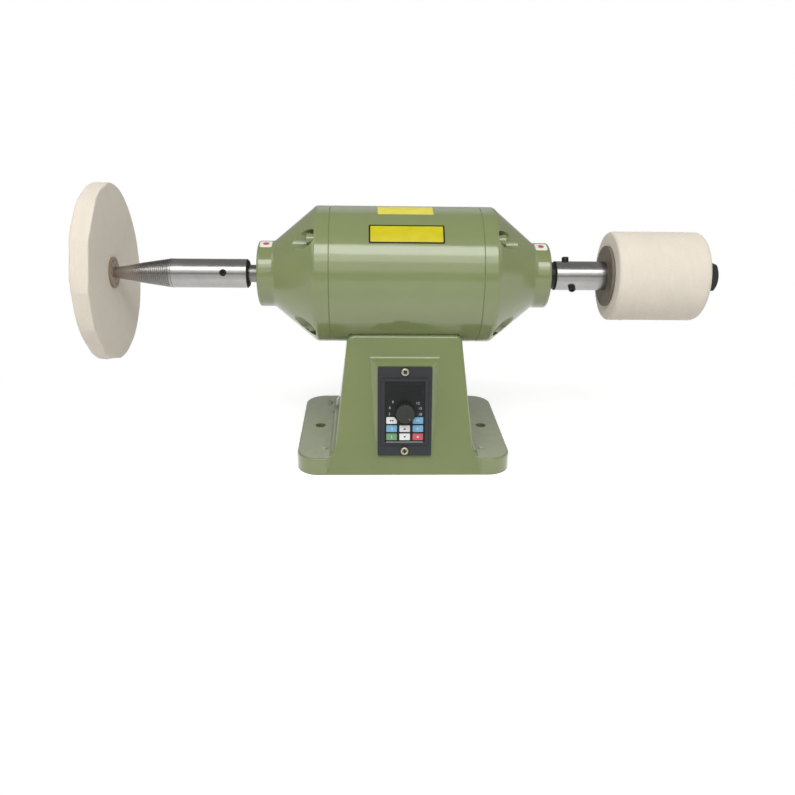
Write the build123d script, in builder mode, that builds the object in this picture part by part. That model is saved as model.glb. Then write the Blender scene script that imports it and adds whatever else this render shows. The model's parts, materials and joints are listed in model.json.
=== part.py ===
from build123d import *
import os
from math import atan, cos, degrees, radians, sin, sqrt, tan

# Bench polishing machine: a closed motor on a cast pedestal turns a felt wheel, screwed on a
# tapered spindle at its left end, and a felt drum, clamped on an arbor at its right end.
# Millimetres. +X runs along the spindle towards the drum, +Y away from the operator, +Z up.
# The origin lies on the bench, midway between the two bolt holes of the base.

os.makedirs("parts", exist_ok=True)

# Motor housing
SHELL_DIAMETER = 155.0
SHELL_LENGTH = 168.0
SHELL_WALL = 16.0
SEAM_CHAMFER = 0.6
RIM_WIDTH = 16.0
RIM_ROUNDING = 8.0
CONE_LENGTH = 48.0
BOSS_DIAMETER = 75.0
BOSS_LENGTH = 18.0
BOSS_ROUNDING = 3.0
BOSS_COVE = 6.0
BOSS_WALL = 7.0
BELL_WALL = 4.0
SPIGOT_LENGTH = 5.0
BELL_BOLT_COUNT = 4
BELL_BOLT_INSET = 9.5
BELL_BOLT_SIZE = 8.0
BELL_BOLT_REACH = 16.0
BELL_BOLT_HEAD = 12.8
BELL_BOLT_HEAD_HEIGHT = 8.0
BELL_BOLT_SOCKET = 6.0
BELL_BOLT_SOCKET_DEPTH = 4.0
BELL_POCKET_WIDTH = 22.0

# Clearances
PRESS_GAP = 0.05
RUNNING_GAP = 0.05
SEAT_GAP = 0.25
SOFT_GAP = 0.15
BOLT_GAP = 0.4
SLIDE_GAP = 0.2

# Bearings, each with eight balls, and the seals outside them
BEARING_BORE = 20.0
BEARING_DIAMETER = 47.0
BEARING_WIDTH = 14.0
BALL_DIAMETER = 7.94
BALL_COUNT = 8
BALL_GAP = 0.08
RING_LAND = 2.55
CAGE_WIDTH = 11.0
CAGE_THICKNESS = 2.2
CAGE_POCKET_GAP = 0.2
PRELOAD_SPACE = 2.0
PRELOAD_SHEET = 0.8
SEAL_DIAMETER = 32.0
SEAL_WIDTH = 4.0
SEAL_RECESS = 0.8
SEAL_WEB = 1.0
SEAL_WEB_GAP = 3.0

# Stator, rotor and shaft
STACK_LENGTH = 76.0
STATOR_BACK = 10.0
AIR_GAP = 0.5
SLOT_COUNT = 24
SLOT_DEPTH = 14.0
SLOT_WIDTH = 5.0
SLOT_MOUTH = 1.0
SLOT_LINER = 0.3
WINDING_OVERHANG = 24.0
WINDING_BUILD = 17.0
END_RING_WIDTH = 9.0
END_RING_ROOM = 11.5
END_RING_INSET = 2.0
FAN_BLADE_COUNT = 8
FAN_BLADE_LENGTH = 8.0
FAN_BLADE_THICKNESS = 2.5
SHAFT_CORE_DIAMETER = 25.0
SHAFT_END_DIAMETER = 19.0
SHAFT_GRIP = 42.0
SHAFT_END_ROOM = 2.0

# Tapered spindle and felt wheel, at the left end
SPINDLE_GAP = 12.0
SPINDLE_DIAMETER = 33.0
SPINDLE_BARREL = 89.0
SPINDLE_TAPER = 88.0
SPINDLE_TIP_DIAMETER = 4.9
SPINDLE_THREAD_DEPTH = 0.7
SPINDLE_CHAMFER = 2.0
SPINDLE_SCREW_PLACE = 28.0
SPINDLE_SCREW_ANGLES = (15.0, 135.0)
SPINDLE_SCREW_DEPTH = 1.2
DRILL_ANGLE = 118.0
WHEEL_TIP_STAND = 5.7
WHEEL_DIAMETER = 200.0
WHEEL_THICKNESS = 19.3
WHEEL_ROUNDING = 2.5
WHEEL_DISH = 3.5
WHEEL_DISH_DIAMETER = 150.0
WHEEL_WASHER_DIAMETER = 35.5
WHEEL_WASHER_THICKNESS = 2.0

# Drum arbor and felt drum, at the right end
COLLAR_DIAMETER = 31.0
COLLAR_GAP = 0.8
COLLAR_LENGTH = 7.7
ARBOR_DIAMETER = 33.5
ARBOR_BARREL = 60.5
ARBOR_CHAMFER = 1.5
ARBOR_STUD_DIAMETER = 20.0
ARBOR_STUD_END = 2.0
ARBOR_SCREW_PLACES = (14.8, 20.6)
ARBOR_SCREW_ANGLES = (108.0, -38.0)
ARBOR_SCREW_STAND = 5.0
SET_SCREW_SIZE = 8.0
SET_SCREW_SOCKET = 4.0
SET_SCREW_SOCKET_DEPTH = 3.0
SET_SCREW_CHAMFER = 0.8
DRUM_FLANGE_DIAMETER = 70.0
DRUM_FLANGE_THICKNESS = 3.7
DRUM_FLANGE_ROUNDING = 1.0
DRUM_DIAMETER = 103.0
DRUM_LENGTH = 106.5
DRUM_ROUNDING = 3.5
LOCK_WASHER_DIAMETER = 31.0
LOCK_WASHER_THICKNESS = 3.2
LOCK_WASHER_SPLIT = 3.0
LOCK_WASHER_SLANT = 20.0
NUT_FLATS = 30.0
NUT_HEIGHT = 14.0
NUT_CHAMFER = 2.2

# Pedestal and base
BASE_WIDTH = 246.0
BASE_DEPTH = 202.0
BASE_SHIFT = 4.0
BASE_CORNER = 26.0
BASE_EDGE = 2.2
FLANGE_THICKNESS = 20.5
CASTING_WALL = 8.0
FLANGE_SIDE = 43.0
FLANGE_FRONT = 5.5
APRON_WIDTH = 166.0
APRON_SPREAD = 6.0
APRON_LIP = 1.0
COLUMN_SIDE_TAPER = 15.5
COLUMN_SHOULDER = 9.0
COLUMN_COVE = 9.0
COLUMN_COVE_SINK = 0.75
COLUMN_EDGE = 4.0
SADDLE_FLOOR = 133.25
SADDLE_RISE = 20.75
SADDLE_LAND = 3.2
DECK_THICKNESS = 12.0
SADDLE_BOLT_SIZE = 8.0
SADDLE_BOLT_FLATS = 13.0
SADDLE_BOLT_HEAD_HEIGHT = 5.3
SADDLE_BOLT_INSET = 34.5
SADDLE_BOLT_SPAN_Y = 44.0
SADDLE_BOLT_REACH = 12.0
BASE_HOLE_INSET = 23.0
BASE_HOLE_DIAMETER = 12.5
BASE_HOLE_BOSS = 26.0
COVER_SCREW_INSET_X = 31.3
COVER_SCREW_INSET_Y = 28.7
COVER_SCREW_SIZE = 4.0
COVER_SCREW_HEAD = 7.6
COVER_SCREW_HEAD_HEIGHT = 2.6
COVER_SCREW_CROWN = 1.8
COVER_SCREW_BOSS = 16.0
COVER_RIM = 5.0
COVER_LEDGE = 4.0
COVER_THICKNESS = 2.5
COVER_LIFT = 0.5
EARTH_HOLE_INSET_X = 38.7
EARTH_HOLE_INSET_Y = 61.0
EARTH_HOLE_DIAMETER = 5.0
EARTH_HOLE_DEPTH = 8.0
LEAD_HOLE_DIAMETER = 14.0
LEAD_DIAMETER = 7.0
GROMMET_FLANGE = 20.0
GROMMET_LIP = 2.5
LEAD_ENTRY_DEPTH = 36.0
LEAD_BENDS = (18.0, 11.0)

# Cable gland at the back
GLAND_HEIGHT = 58.0
GLAND_THREAD = 20.0
GLAND_BORE = 8.0
GLAND_FLATS = 24.0
GLAND_HEX_LENGTH = 6.0
GLAND_NECK = 9.0
GLAND_NECK_DIAMETER = 16.0
GLAND_CAP_LENGTH = 17.0
GLAND_CAP_HEX = 10.0
GLAND_CAP_ROUNDING = 6.0
GLAND_BOSS_DIAMETER = 34.0
GLAND_BOSS_STAND = 4.0
GLAND_INSIDE = 9.0
LOCKNUT_FLATS = 26.0
LOCKNUT_HEIGHT = 5.0

# Control panel, on its own leaning plane
PANEL_UPRIGHT = 3.9
PANEL_RISE = 1.0
PANEL_BORDER = 4.0
PANEL_END = 13.0
PANEL_CORNER = 1.5
PANEL_THICKNESS = 3.0
PAD_MARGIN = 1.0
PAD_STAND = 0.3
PAD_DRAFT = 45.0
PAD_REACH = 20.0
PAD_COVE = 5.0
FRAME_SIDE = 4.0
FRAME_END = 3.25
FRAME_STAND = 2.5
FRAME_EDGE = 0.8
KEYPAD_SIDE = 1.8
KEYPAD_HEAD = 3.75
KEYPAD_FOOT = 2.6
KEYPAD_LEDGE = 0.7
KEYPAD_THICKNESS = 1.5
PANEL_SCREW_INSET = 5.8
PANEL_SCREW_SIZE = 4.0
PANEL_SCREW_HEAD = 9.6
PANEL_SCREW_HEAD_HEIGHT = 2.8
PANEL_SCREW_CROWN = 2.0
PANEL_SCREW_REACH = 9.0
DISPLAY_WIDTH = 37.0
DISPLAY_HEIGHT = 15.0
DISPLAY_GAP = 5.0
LENS_LIP = 1.2
KNOB_DIAMETER = 22.0
KNOB_HEIGHT = 13.0
KNOB_CROWN = 20.6
KNOB_EDGE = 1.2
KNOB_FLUTES = 18
KNOB_FLUTE_DIAMETER = 1.6
KNOB_STAND = 0.8
KNOB_CAP = 3.0
POT_DIAMETER = 16.0
POT_SHAFT_DIAMETER = 6.0
POT_BUSH_WALL = 1.0
POT_BUSH_HEIGHT = 2.4
KEY_WIDTH = 11.8
KEY_HEIGHT = 7.5
KEY_GAP = 3.0
KEY_ROW_GAP = 1.9
KEY_ROW_DROP = 9.6
KEY_CORNER = 0.8
KEY_KNOB_ROOM = 2.1
KEY_STAND = 1.3
KEY_TRAVEL = 0.8
KEY_LIP = 0.5
KEY_LIP_THICKNESS = 1.0
KEY_STEM_DIAMETER = 4.0
SWITCH_SIDE = 6.0
SWITCH_HEIGHT = 2.8
SWITCH_BODY_HEIGHT = 2.0
SWITCH_BUTTON_DIAMETER = 3.2
BOARD_THICKNESS = 1.6
BOARD_DEPTH = 4.0
HOUSING_WALL = 2.0
HOUSING_MARGIN = 2.5
HOUSING_GAP = 1.0
HOUSING_DEPTH = 46.0
HOUSING_LEDGE = 2.0
SINK_PLATE = 4.0
SINK_DEPTH = 18.0
SINK_FIN_COUNT = 7
SINK_FIN_THICKNESS = 2.2

# Closer than this, two places count as one when edges are chosen
SAME_PLACE = 0.01

# Radii and places along the spindle axis
SHELL_R = SHELL_DIAMETER / 2
SHELL_BORE_R = SHELL_R - SHELL_WALL
SADDLE_R = SHELL_R + SEAT_GAP
AXIS_HEIGHT = SADDLE_FLOOR + SADDLE_R
SEAM_X = SHELL_LENGTH / 2
RIM_X = SEAM_X + RIM_WIDTH
CONE_X = RIM_X + CONE_LENGTH
BOSS_X = CONE_X + BOSS_LENGTH
BOSS_R = BOSS_DIAMETER / 2
BEARING_R = BEARING_DIAMETER / 2
PITCH_R = (BEARING_DIAMETER + BEARING_BORE) / 4
BALL_R = BALL_DIAMETER / 2
SEAT_X = BOSS_X - BOSS_WALL
RIGHT_BEARING_X = SEAT_X - BEARING_WIDTH / 2
LEFT_BEARING_X = -(SEAT_X - PRELOAD_SPACE - BEARING_WIDTH / 2)
NECK_R = BEARING_BORE / 2
END_R = SHAFT_END_DIAMETER / 2
END_BORE_R = END_R + PRESS_GAP
BOLT_R = SHELL_R - BELL_BOLT_INSET
POCKET_R = BELL_POCKET_WIDTH / 2
STATOR_R = SHELL_BORE_R - STATOR_BACK - SLOT_DEPTH
ROTOR_R = STATOR_R - AIR_GAP
STACK_X = STACK_LENGTH / 2
COLLAR_X = BOSS_X + COLLAR_GAP
ARBOR_FACE = COLLAR_X + COLLAR_LENGTH
ARBOR_R = ARBOR_DIAMETER / 2
STUD_R = ARBOR_STUD_DIAMETER / 2
ARBOR_END = ARBOR_FACE + ARBOR_BARREL
DRUM_X = ARBOR_END + DRUM_FLANGE_THICKNESS
DRUM_END = DRUM_X + DRUM_LENGTH
LOCK_WASHER_X = DRUM_END + DRUM_FLANGE_THICKNESS
NUT_X = LOCK_WASHER_X + LOCK_WASHER_THICKNESS
STUD_END = NUT_X + NUT_HEIGHT + ARBOR_STUD_END
SPINDLE_R = SPINDLE_DIAMETER / 2
SPINDLE_TIP_R = SPINDLE_TIP_DIAMETER / 2
THREAD_ROOT_R = SPINDLE_R - SPINDLE_THREAD_DEPTH
SPINDLE_FACE = BOSS_X + SPINDLE_GAP
TAPER_START = SPINDLE_FACE + SPINDLE_BARREL
SPINDLE_TIP = TAPER_START + SPINDLE_TAPER

SPIN = Axis((0, 0, AXIS_HEIGHT), (1, 0, 0))
AXIAL = Plane(origin=(0, 0, AXIS_HEIGHT), x_dir=(1, 0, 0), z_dir=(0, -1, 0))


def save(builder, name):
    """Label a finished piece and write it as one STEP file."""
    builder.part.label = name
    export_step(builder.part, f"parts/{name}.step")


def across(x):
    """Plane square to the spindle at x, with its own x along +Y and its own y along +Z."""
    return Plane(origin=(x, 0, AXIS_HEIGHT), x_dir=(0, 1, 0), z_dir=(1, 0, 0))


def radial(x, angle):
    """Plane on the spindle axis at x that faces outwards, angle degrees above the front."""
    outwards = (0, -cos(radians(angle)), sin(radians(angle)))
    return Plane(origin=(x, 0, AXIS_HEIGHT), x_dir=(1, 0, 0), z_dir=outwards)


def turned(outline):
    """Turned piece: a closed outline of (x, radius) points revolved about the spindle axis."""
    with BuildPart() as piece:
        with BuildSketch(AXIAL):
            with BuildLine():
                Polyline(outline, close=True)
            make_face()
        revolve(axis=SPIN)
    return piece


def at_ring(part, x, radius):
    """The circular edges of a turned piece that lie at x and have that radius."""
    rings = part.edges().filter_by(GeomType.CIRCLE)
    rings = rings.filter_by_position(Axis.X, x - SAME_PLACE, x + SAME_PLACE)
    return rings.filter_by(lambda ring: abs(ring.radius - radius) < SAME_PLACE)


# Pedestal: one casting of base flange, column, panel pad, saddle and bosses
COLUMN_TOP = SADDLE_FLOOR + SADDLE_RISE
COLUMN_FOOT_WIDTH = BASE_WIDTH - 2 * FLANGE_SIDE
BASE_FRONT = BASE_DEPTH / 2 - BASE_SHIFT
COLUMN_FOOT_DEPTH = 2 * (BASE_FRONT - FLANGE_FRONT)
COLUMN_TOP_WIDTH = COLUMN_FOOT_WIDTH - 2 * COLUMN_SIDE_TAPER
SADDLE_CHORD = sqrt(SADDLE_R**2 - (AXIS_HEIGHT - COLUMN_TOP) ** 2)
COLUMN_TOP_DEPTH = 2 * (SADDLE_CHORD + SADDLE_LAND)
COLUMN_RISE = COLUMN_TOP - FLANGE_THICKNESS
SIDE_LEAN = (COLUMN_FOOT_WIDTH - COLUMN_TOP_WIDTH) / 2 / COLUMN_RISE
FRONT_LEAN = (COLUMN_FOOT_DEPTH - COLUMN_TOP_DEPTH) / 2 / COLUMN_RISE
CAVITY_TOP = SADDLE_FLOOR - DECK_THICKNESS
COVER_TOP = COVER_LIFT + COVER_THICKNESS
COLUMN_ROOT = FLANGE_THICKNESS - CASTING_WALL / 2
COLUMN_BED = FLANGE_THICKNESS / 2
BASE_HOLE_SPAN = BASE_WIDTH - 2 * BASE_HOLE_INSET
COVER_SCREW_SPAN_X = BASE_WIDTH - 2 * COVER_SCREW_INSET_X
COVER_SCREW_SPAN_Y = BASE_DEPTH - 2 * COVER_SCREW_INSET_Y
EARTH_HOLE_PLACE = (EARTH_HOLE_INSET_X - BASE_WIDTH / 2, BASE_DEPTH / 2 - EARTH_HOLE_INSET_Y)
BASE_MIDDLE = (0, BASE_SHIFT)
SADDLE_BOLT_SPAN_X = COLUMN_TOP_WIDTH - 2 * SADDLE_BOLT_INSET
LEAD_PLACE = STACK_X + WINDING_OVERHANG / 2


def column_half_width(z):
    """Half the column's width at height z, on its outer face."""
    return COLUMN_TOP_WIDTH / 2 + (COLUMN_TOP - z) * SIDE_LEAN


def column_half_depth(z):
    """Half the column's depth at height z, on its outer face."""
    return COLUMN_TOP_DEPTH / 2 + (COLUMN_TOP - z) * FRONT_LEAN


# Panel sizes, worked outwards from the keys, the knob and the display
KNOB_R = KNOB_DIAMETER / 2
KEY_PITCH = KEY_WIDTH + KEY_GAP
KEY_ROW_PITCH = KEY_HEIGHT + KEY_ROW_GAP
KEYPAD_UP = KNOB_R + DISPLAY_GAP + DISPLAY_HEIGHT + KEYPAD_HEAD
KEYPAD_DOWN = KEY_ROW_DROP + 2 * KEY_ROW_PITCH + KEY_HEIGHT / 2 + KEYPAD_FOOT
KEYPAD_WIDTH = 2 * KEY_PITCH + KEY_WIDTH + 2 * KEYPAD_SIDE
KEYPAD_HEIGHT = KEYPAD_UP + KEYPAD_DOWN
KNOB_PLACE = (KEYPAD_DOWN - KEYPAD_UP) / 2
FRAME_WIDTH = KEYPAD_WIDTH + 2 * FRAME_SIDE
FRAME_HEIGHT = KEYPAD_HEIGHT + 2 * FRAME_END
PANEL_WIDTH = FRAME_WIDTH + 2 * PANEL_BORDER
PANEL_HEIGHT = FRAME_HEIGHT + 2 * PANEL_END
PANEL_SCREW_SPAN = PANEL_HEIGHT - 2 * PANEL_SCREW_INSET
HOUSING_WIDTH = KEYPAD_WIDTH + 2 * HOUSING_MARGIN
HOUSING_HEIGHT = KEYPAD_HEIGHT + 2 * HOUSING_MARGIN

# Panel plane: x to the right, y up the panel, z out of it, centred on the pad's face
PAD_WIDTH = PANEL_WIDTH + 2 * PAD_MARGIN
PAD_HEIGHT = PANEL_HEIGHT + 2 * PAD_MARGIN
PAD_LOW_Z = FLANGE_THICKNESS + PANEL_RISE
PAD_LOW_Y = -column_half_depth(PAD_LOW_Z) - PAD_STAND
PANEL_LEAN = degrees(atan(FRONT_LEAN)) - PANEL_UPRIGHT
LEAN_SIN = sin(radians(PANEL_LEAN))
LEAN_COS = cos(radians(PANEL_LEAN))
PANEL = Plane(
    origin=(0, PAD_LOW_Y + LEAN_SIN * PAD_HEIGHT / 2, PAD_LOW_Z + LEAN_COS * PAD_HEIGHT / 2),
    x_dir=(1, 0, 0),
    z_dir=(0, -LEAN_COS, LEAN_SIN),
)
OUTWARDS = Axis(PANEL.origin, PANEL.z_dir)


def knob_plane(height):
    """Panel plane centred on the knob, raised by height out of the pad's face."""
    return Plane(PANEL.from_local_coords((0, KNOB_PLACE, height)), PANEL.x_dir, PANEL.z_dir)


GLAND_SEAT_Y = column_half_depth(GLAND_HEIGHT) + GLAND_BOSS_STAND
GLAND_WALL_Y = column_half_depth(GLAND_HEIGHT) - CASTING_WALL - GLAND_BOSS_STAND
BACKWARDS = Plane(origin=(0, 0, GLAND_HEIGHT), x_dir=(-1, 0, 0), z_dir=(0, 1, 0))

with BuildPart() as column:
    # Seen from the front: leaning sides, rounded shoulders and a cove out to the flange
    with BuildSketch(Plane.XZ) as front_view:
        with BuildLine():
            cove_x = column_half_width(FLANGE_THICKNESS + COLUMN_COVE)
            foot_x = cove_x + COLUMN_COVE
            side = Line(
                (column_half_width(COLUMN_TOP), COLUMN_TOP),
                (cove_x, FLANGE_THICKNESS + COLUMN_COVE),
            )
            cove = TangentArc(
                side @ 1,
                (foot_x, FLANGE_THICKNESS - COLUMN_COVE_SINK),
                tangent=side % 1,
            )
            Polyline(cove @ 1, (foot_x, COLUMN_BED), (0, COLUMN_BED))
            Line((0, COLUMN_TOP), side @ 0)
            mirror(about=Plane.YZ)
        make_face()
        fillet(front_view.vertices().group_by(Axis.Y)[-1].sort_by(Axis.X)[0], COLUMN_SHOULDER)
        fillet(front_view.vertices().group_by(Axis.Y)[-1].sort_by(Axis.X)[-1], COLUMN_SHOULDER)
    extrude(amount=BASE_DEPTH / 2, both=True)
    # Seen from the side: front and back lean in towards the motor
    with BuildSketch(Plane.YZ):
        with BuildLine():
            Polyline(
                (-column_half_depth(COLUMN_BED), COLUMN_BED),
                (column_half_depth(COLUMN_BED), COLUMN_BED),
                (column_half_depth(COLUMN_TOP), COLUMN_TOP),
                (-column_half_depth(COLUMN_TOP), COLUMN_TOP),
                close=True,
            )
        make_face()
    extrude(amount=BASE_WIDTH / 2, both=True, mode=Mode.INTERSECT)
    for face in (column.faces().sort_by(Axis.Y)[0], column.faces().sort_by(Axis.Y)[-1]):
        rims = face.edges().filter_by(lambda edge: edge.center().Z > COLUMN_BED + SAME_PLACE)
        fillet(rims, COLUMN_EDGE)

# Between its two front corners the flange is cut back in line with the column's face
with BuildPart() as apron:
    with BuildSketch(Plane.YZ):
        with BuildLine():
            apron_top = FLANGE_THICKNESS + PANEL_RISE / 2
            Polyline(
                (-column_half_depth(APRON_LIP), APRON_LIP),
                (-column_half_depth(apron_top), apron_top),
                (-BASE_FRONT - FLANGE_FRONT, apron_top),
                (-BASE_FRONT - FLANGE_FRONT, APRON_LIP),
                close=True,
            )
        make_face()
    extrude(amount=BASE_WIDTH / 2, both=True)
    with BuildSketch():
        with BuildLine():
            Polyline(
                (-APRON_WIDTH / 2, FLANGE_FRONT - BASE_FRONT),
                (APRON_WIDTH / 2, FLANGE_FRONT - BASE_FRONT),
                (APRON_WIDTH / 2 + 2 * APRON_SPREAD, -BASE_FRONT - FLANGE_FRONT),
                (-APRON_WIDTH / 2 - 2 * APRON_SPREAD, -BASE_FRONT - FLANGE_FRONT),
                close=True,
            )
        make_face()
    extrude(amount=COLUMN_TOP, mode=Mode.INTERSECT)

# Raised pad behind the panel; the slope at its head runs in until it meets the column
PAD_SLOPE = tan(radians(PAD_DRAFT))
PAD_HEAD = PANEL.from_local_coords((0, PAD_HEIGHT / 2, 0))
head_back = PAD_SLOPE * LEAN_SIN + LEAN_COS
head_rise = PAD_SLOPE * LEAN_COS - LEAN_SIN
head_stand = -PAD_HEAD.Y - column_half_depth(PAD_HEAD.Z)
head_run = head_stand / (head_back - FRONT_LEAN * head_rise)
PAD_ROOT = PAD_HEAD + Vector(0, head_back, head_rise) * head_run
with BuildPart() as pad:
    # Seen from the side: the panel's seat, the slope and a cove that leads up into the column
    with BuildSketch(Plane.YZ) as pad_side:
        with BuildLine():
            pad_top = PAD_ROOT.Z + PAD_COVE
            Polyline(
                (PAD_LOW_Y, PAD_LOW_Z),
                (PAD_HEAD.Y, PAD_HEAD.Z),
                (PAD_ROOT.Y, PAD_ROOT.Z),
                (-column_half_depth(pad_top), pad_top),
                (CASTING_WALL / 2 - column_half_depth(pad_top), pad_top),
                (CASTING_WALL / 2 - column_half_depth(PAD_LOW_Z), PAD_LOW_Z),
                close=True,
            )
        make_face()
        fillet(pad_side.vertices().sort_by_distance((PAD_ROOT.Y, PAD_ROOT.Z))[0], PAD_COVE)
    extrude(amount=PAD_WIDTH, both=True)
    # Seen along the panel: drafted sides, which run out at the pad's foot
    with BuildSketch(Plane(PANEL.origin, PANEL.x_dir, PANEL.y_dir)):
        with BuildLine():
            Polyline(
                (PAD_SLOPE * PANEL_THICKNESS - PAD_WIDTH / 2, -PANEL_THICKNESS),
                (PAD_WIDTH / 2 - PAD_SLOPE * PANEL_THICKNESS, -PANEL_THICKNESS),
                (PAD_WIDTH / 2 + PAD_SLOPE * PAD_REACH, PAD_REACH),
                (-PAD_WIDTH / 2 - PAD_SLOPE * PAD_REACH, PAD_REACH),
                close=True,
            )
        make_face()
    extrude(amount=PAD_HEIGHT, both=True, mode=Mode.INTERSECT)

with BuildPart() as pedestal:
    with BuildSketch():
        with Locations(BASE_MIDDLE):
            RectangleRounded(BASE_WIDTH, BASE_DEPTH, BASE_CORNER)
    extrude(amount=FLANGE_THICKNESS)
    fillet(pedestal.edges().group_by(Axis.Z)[-1], BASE_EDGE)
    add(apron.part, mode=Mode.SUBTRACT)
    add(column.part)
    add(pad.part)
    # Round boss with a flat seat for the cable gland
    with BuildSketch(BACKWARDS.offset(GLAND_WALL_Y)):
        Circle(GLAND_BOSS_DIAMETER / 2)
    extrude(amount=GLAND_SEAT_Y - GLAND_WALL_Y)
    # Hollow column
    with BuildSketch(Plane.XY):
        Rectangle(
            2 * (column_half_width(0) - CASTING_WALL),
            2 * (column_half_depth(0) - CASTING_WALL),
        )
    with BuildSketch(Plane.XY.offset(CAVITY_TOP)):
        Rectangle(
            2 * (column_half_width(CAVITY_TOP) - CASTING_WALL),
            2 * (column_half_depth(CAVITY_TOP) - CASTING_WALL),
        )
    loft(ruled=True, mode=Mode.SUBTRACT)
    # Hollow underside of the flange, with a ledge for the cover plate
    cover_width = BASE_WIDTH - 2 * COVER_RIM
    cover_depth = BASE_DEPTH - 2 * COVER_RIM
    with BuildSketch():
        with Locations(BASE_MIDDLE):
            RectangleRounded(cover_width, cover_depth, BASE_CORNER - COVER_RIM)
    extrude(amount=COVER_TOP, mode=Mode.SUBTRACT)
    with BuildSketch(Plane.XY.offset(COVER_TOP)):
        with Locations(BASE_MIDDLE):
            RectangleRounded(
                cover_width - 2 * COVER_LEDGE,
                cover_depth - 2 * COVER_LEDGE,
                BASE_CORNER - COVER_RIM - COVER_LEDGE,
            )
        Rectangle(
            2 * column_half_width(0),
            2 * cover_depth,
            mode=Mode.SUBTRACT,
        )
    extrude(amount=FLANGE_THICKNESS - CASTING_WALL - COVER_TOP, mode=Mode.SUBTRACT)
    # Bosses round the two bolt holes, which bear on the bench, and the four cover screws
    with BuildSketch():
        with GridLocations(BASE_HOLE_SPAN, 0, 2, 1):
            Circle(BASE_HOLE_BOSS / 2)
    extrude(amount=COLUMN_ROOT)
    with BuildSketch(Plane.XY.offset(COVER_TOP)):
        with Locations(BASE_MIDDLE):
            with GridLocations(COVER_SCREW_SPAN_X, COVER_SCREW_SPAN_Y, 2, 2):
                Circle(COVER_SCREW_BOSS / 2)
            RectangleRounded(cover_width, cover_depth, BASE_CORNER - COVER_RIM, mode=Mode.INTERSECT)
    extrude(amount=COLUMN_ROOT - COVER_TOP)
    with BuildSketch():
        with GridLocations(BASE_HOLE_SPAN, 0, 2, 1):
            Circle(BASE_HOLE_DIAMETER / 2)
        with Locations(BASE_MIDDLE):
            with GridLocations(COVER_SCREW_SPAN_X, COVER_SCREW_SPAN_Y, 2, 2):
                Circle((COVER_SCREW_SIZE + BOLT_GAP) / 2)
    extrude(amount=FLANGE_THICKNESS, mode=Mode.SUBTRACT)
    with BuildSketch(Plane.XY.offset(FLANGE_THICKNESS)):
        with Locations(BASE_MIDDLE):
            with Locations(EARTH_HOLE_PLACE):
                Circle(EARTH_HOLE_DIAMETER / 2)
    extrude(amount=-EARTH_HOLE_DEPTH, mode=Mode.SUBTRACT)
    # Saddle for the motor shell, then the holes in the deck below it
    with BuildSketch(across(-BASE_WIDTH / 2)):
        Circle(SADDLE_R)
    extrude(amount=BASE_WIDTH, mode=Mode.SUBTRACT)
    with BuildSketch(Plane.XY.offset(CAVITY_TOP)):
        with GridLocations(SADDLE_BOLT_SPAN_X, SADDLE_BOLT_SPAN_Y, 2, 2):
            Circle((SADDLE_BOLT_SIZE + BOLT_GAP) / 2)
        with Locations((LEAD_PLACE, 0)):
            Circle(LEAD_HOLE_DIAMETER / 2)
    extrude(amount=SADDLE_R, mode=Mode.SUBTRACT)
    # Window for the control housing and tapped holes for the panel screws
    with BuildSketch(PANEL.offset(-PAD_REACH)):
        Rectangle(HOUSING_WIDTH + 2 * HOUSING_GAP, HOUSING_HEIGHT + 2 * HOUSING_GAP)
    extrude(amount=2 * PAD_REACH, mode=Mode.SUBTRACT)
    with BuildSketch(PANEL):
        with GridLocations(0, PANEL_SCREW_SPAN, 1, 2):
            Circle((PANEL_SCREW_SIZE + PRESS_GAP) / 2)
    extrude(amount=-PANEL_SCREW_REACH - PRESS_GAP, mode=Mode.SUBTRACT)
    # Hole for the gland's thread, with a flat face inside for its lock nut
    with BuildSketch(BACKWARDS):
        Circle((GLAND_THREAD + BOLT_GAP) / 2)
    extrude(amount=BASE_DEPTH, mode=Mode.SUBTRACT)
save(pedestal, "pedestal")

with BuildPart() as bottom_cover:
    with BuildSketch(Plane.XY.offset(COVER_LIFT)):
        with Locations(BASE_MIDDLE):
            RectangleRounded(
                cover_width - 2 * SEAT_GAP,
                cover_depth - 2 * SEAT_GAP,
                BASE_CORNER - COVER_RIM - SEAT_GAP,
            )
        with GridLocations(BASE_HOLE_SPAN, 0, 2, 1):
            Circle(BASE_HOLE_BOSS / 2 + SEAT_GAP, mode=Mode.SUBTRACT)
        with Locations(BASE_MIDDLE):
            with GridLocations(COVER_SCREW_SPAN_X, COVER_SCREW_SPAN_Y, 2, 2):
                Circle((COVER_SCREW_SIZE + PRESS_GAP) / 2, mode=Mode.SUBTRACT)
    extrude(amount=COVER_THICKNESS)
save(bottom_cover, "bottom_cover")

with BuildPart() as cover_screws:
    with BuildSketch(Plane.XY.offset(COVER_LIFT)):
        with Locations(BASE_MIDDLE):
            with GridLocations(COVER_SCREW_SPAN_X, COVER_SCREW_SPAN_Y, 2, 2):
                Circle(COVER_SCREW_SIZE / 2)
    extrude(amount=FLANGE_THICKNESS - COVER_LIFT)
    with BuildSketch(Plane.XY.offset(FLANGE_THICKNESS)):
        with Locations(BASE_MIDDLE):
            with GridLocations(COVER_SCREW_SPAN_X, COVER_SCREW_SPAN_Y, 2, 2):
                Circle(COVER_SCREW_HEAD / 2)
    extrude(amount=COVER_SCREW_HEAD_HEIGHT)
    fillet(cover_screws.edges().group_by(Axis.Z)[-1], COVER_SCREW_CROWN)
save(cover_screws, "cover_screws")

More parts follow.
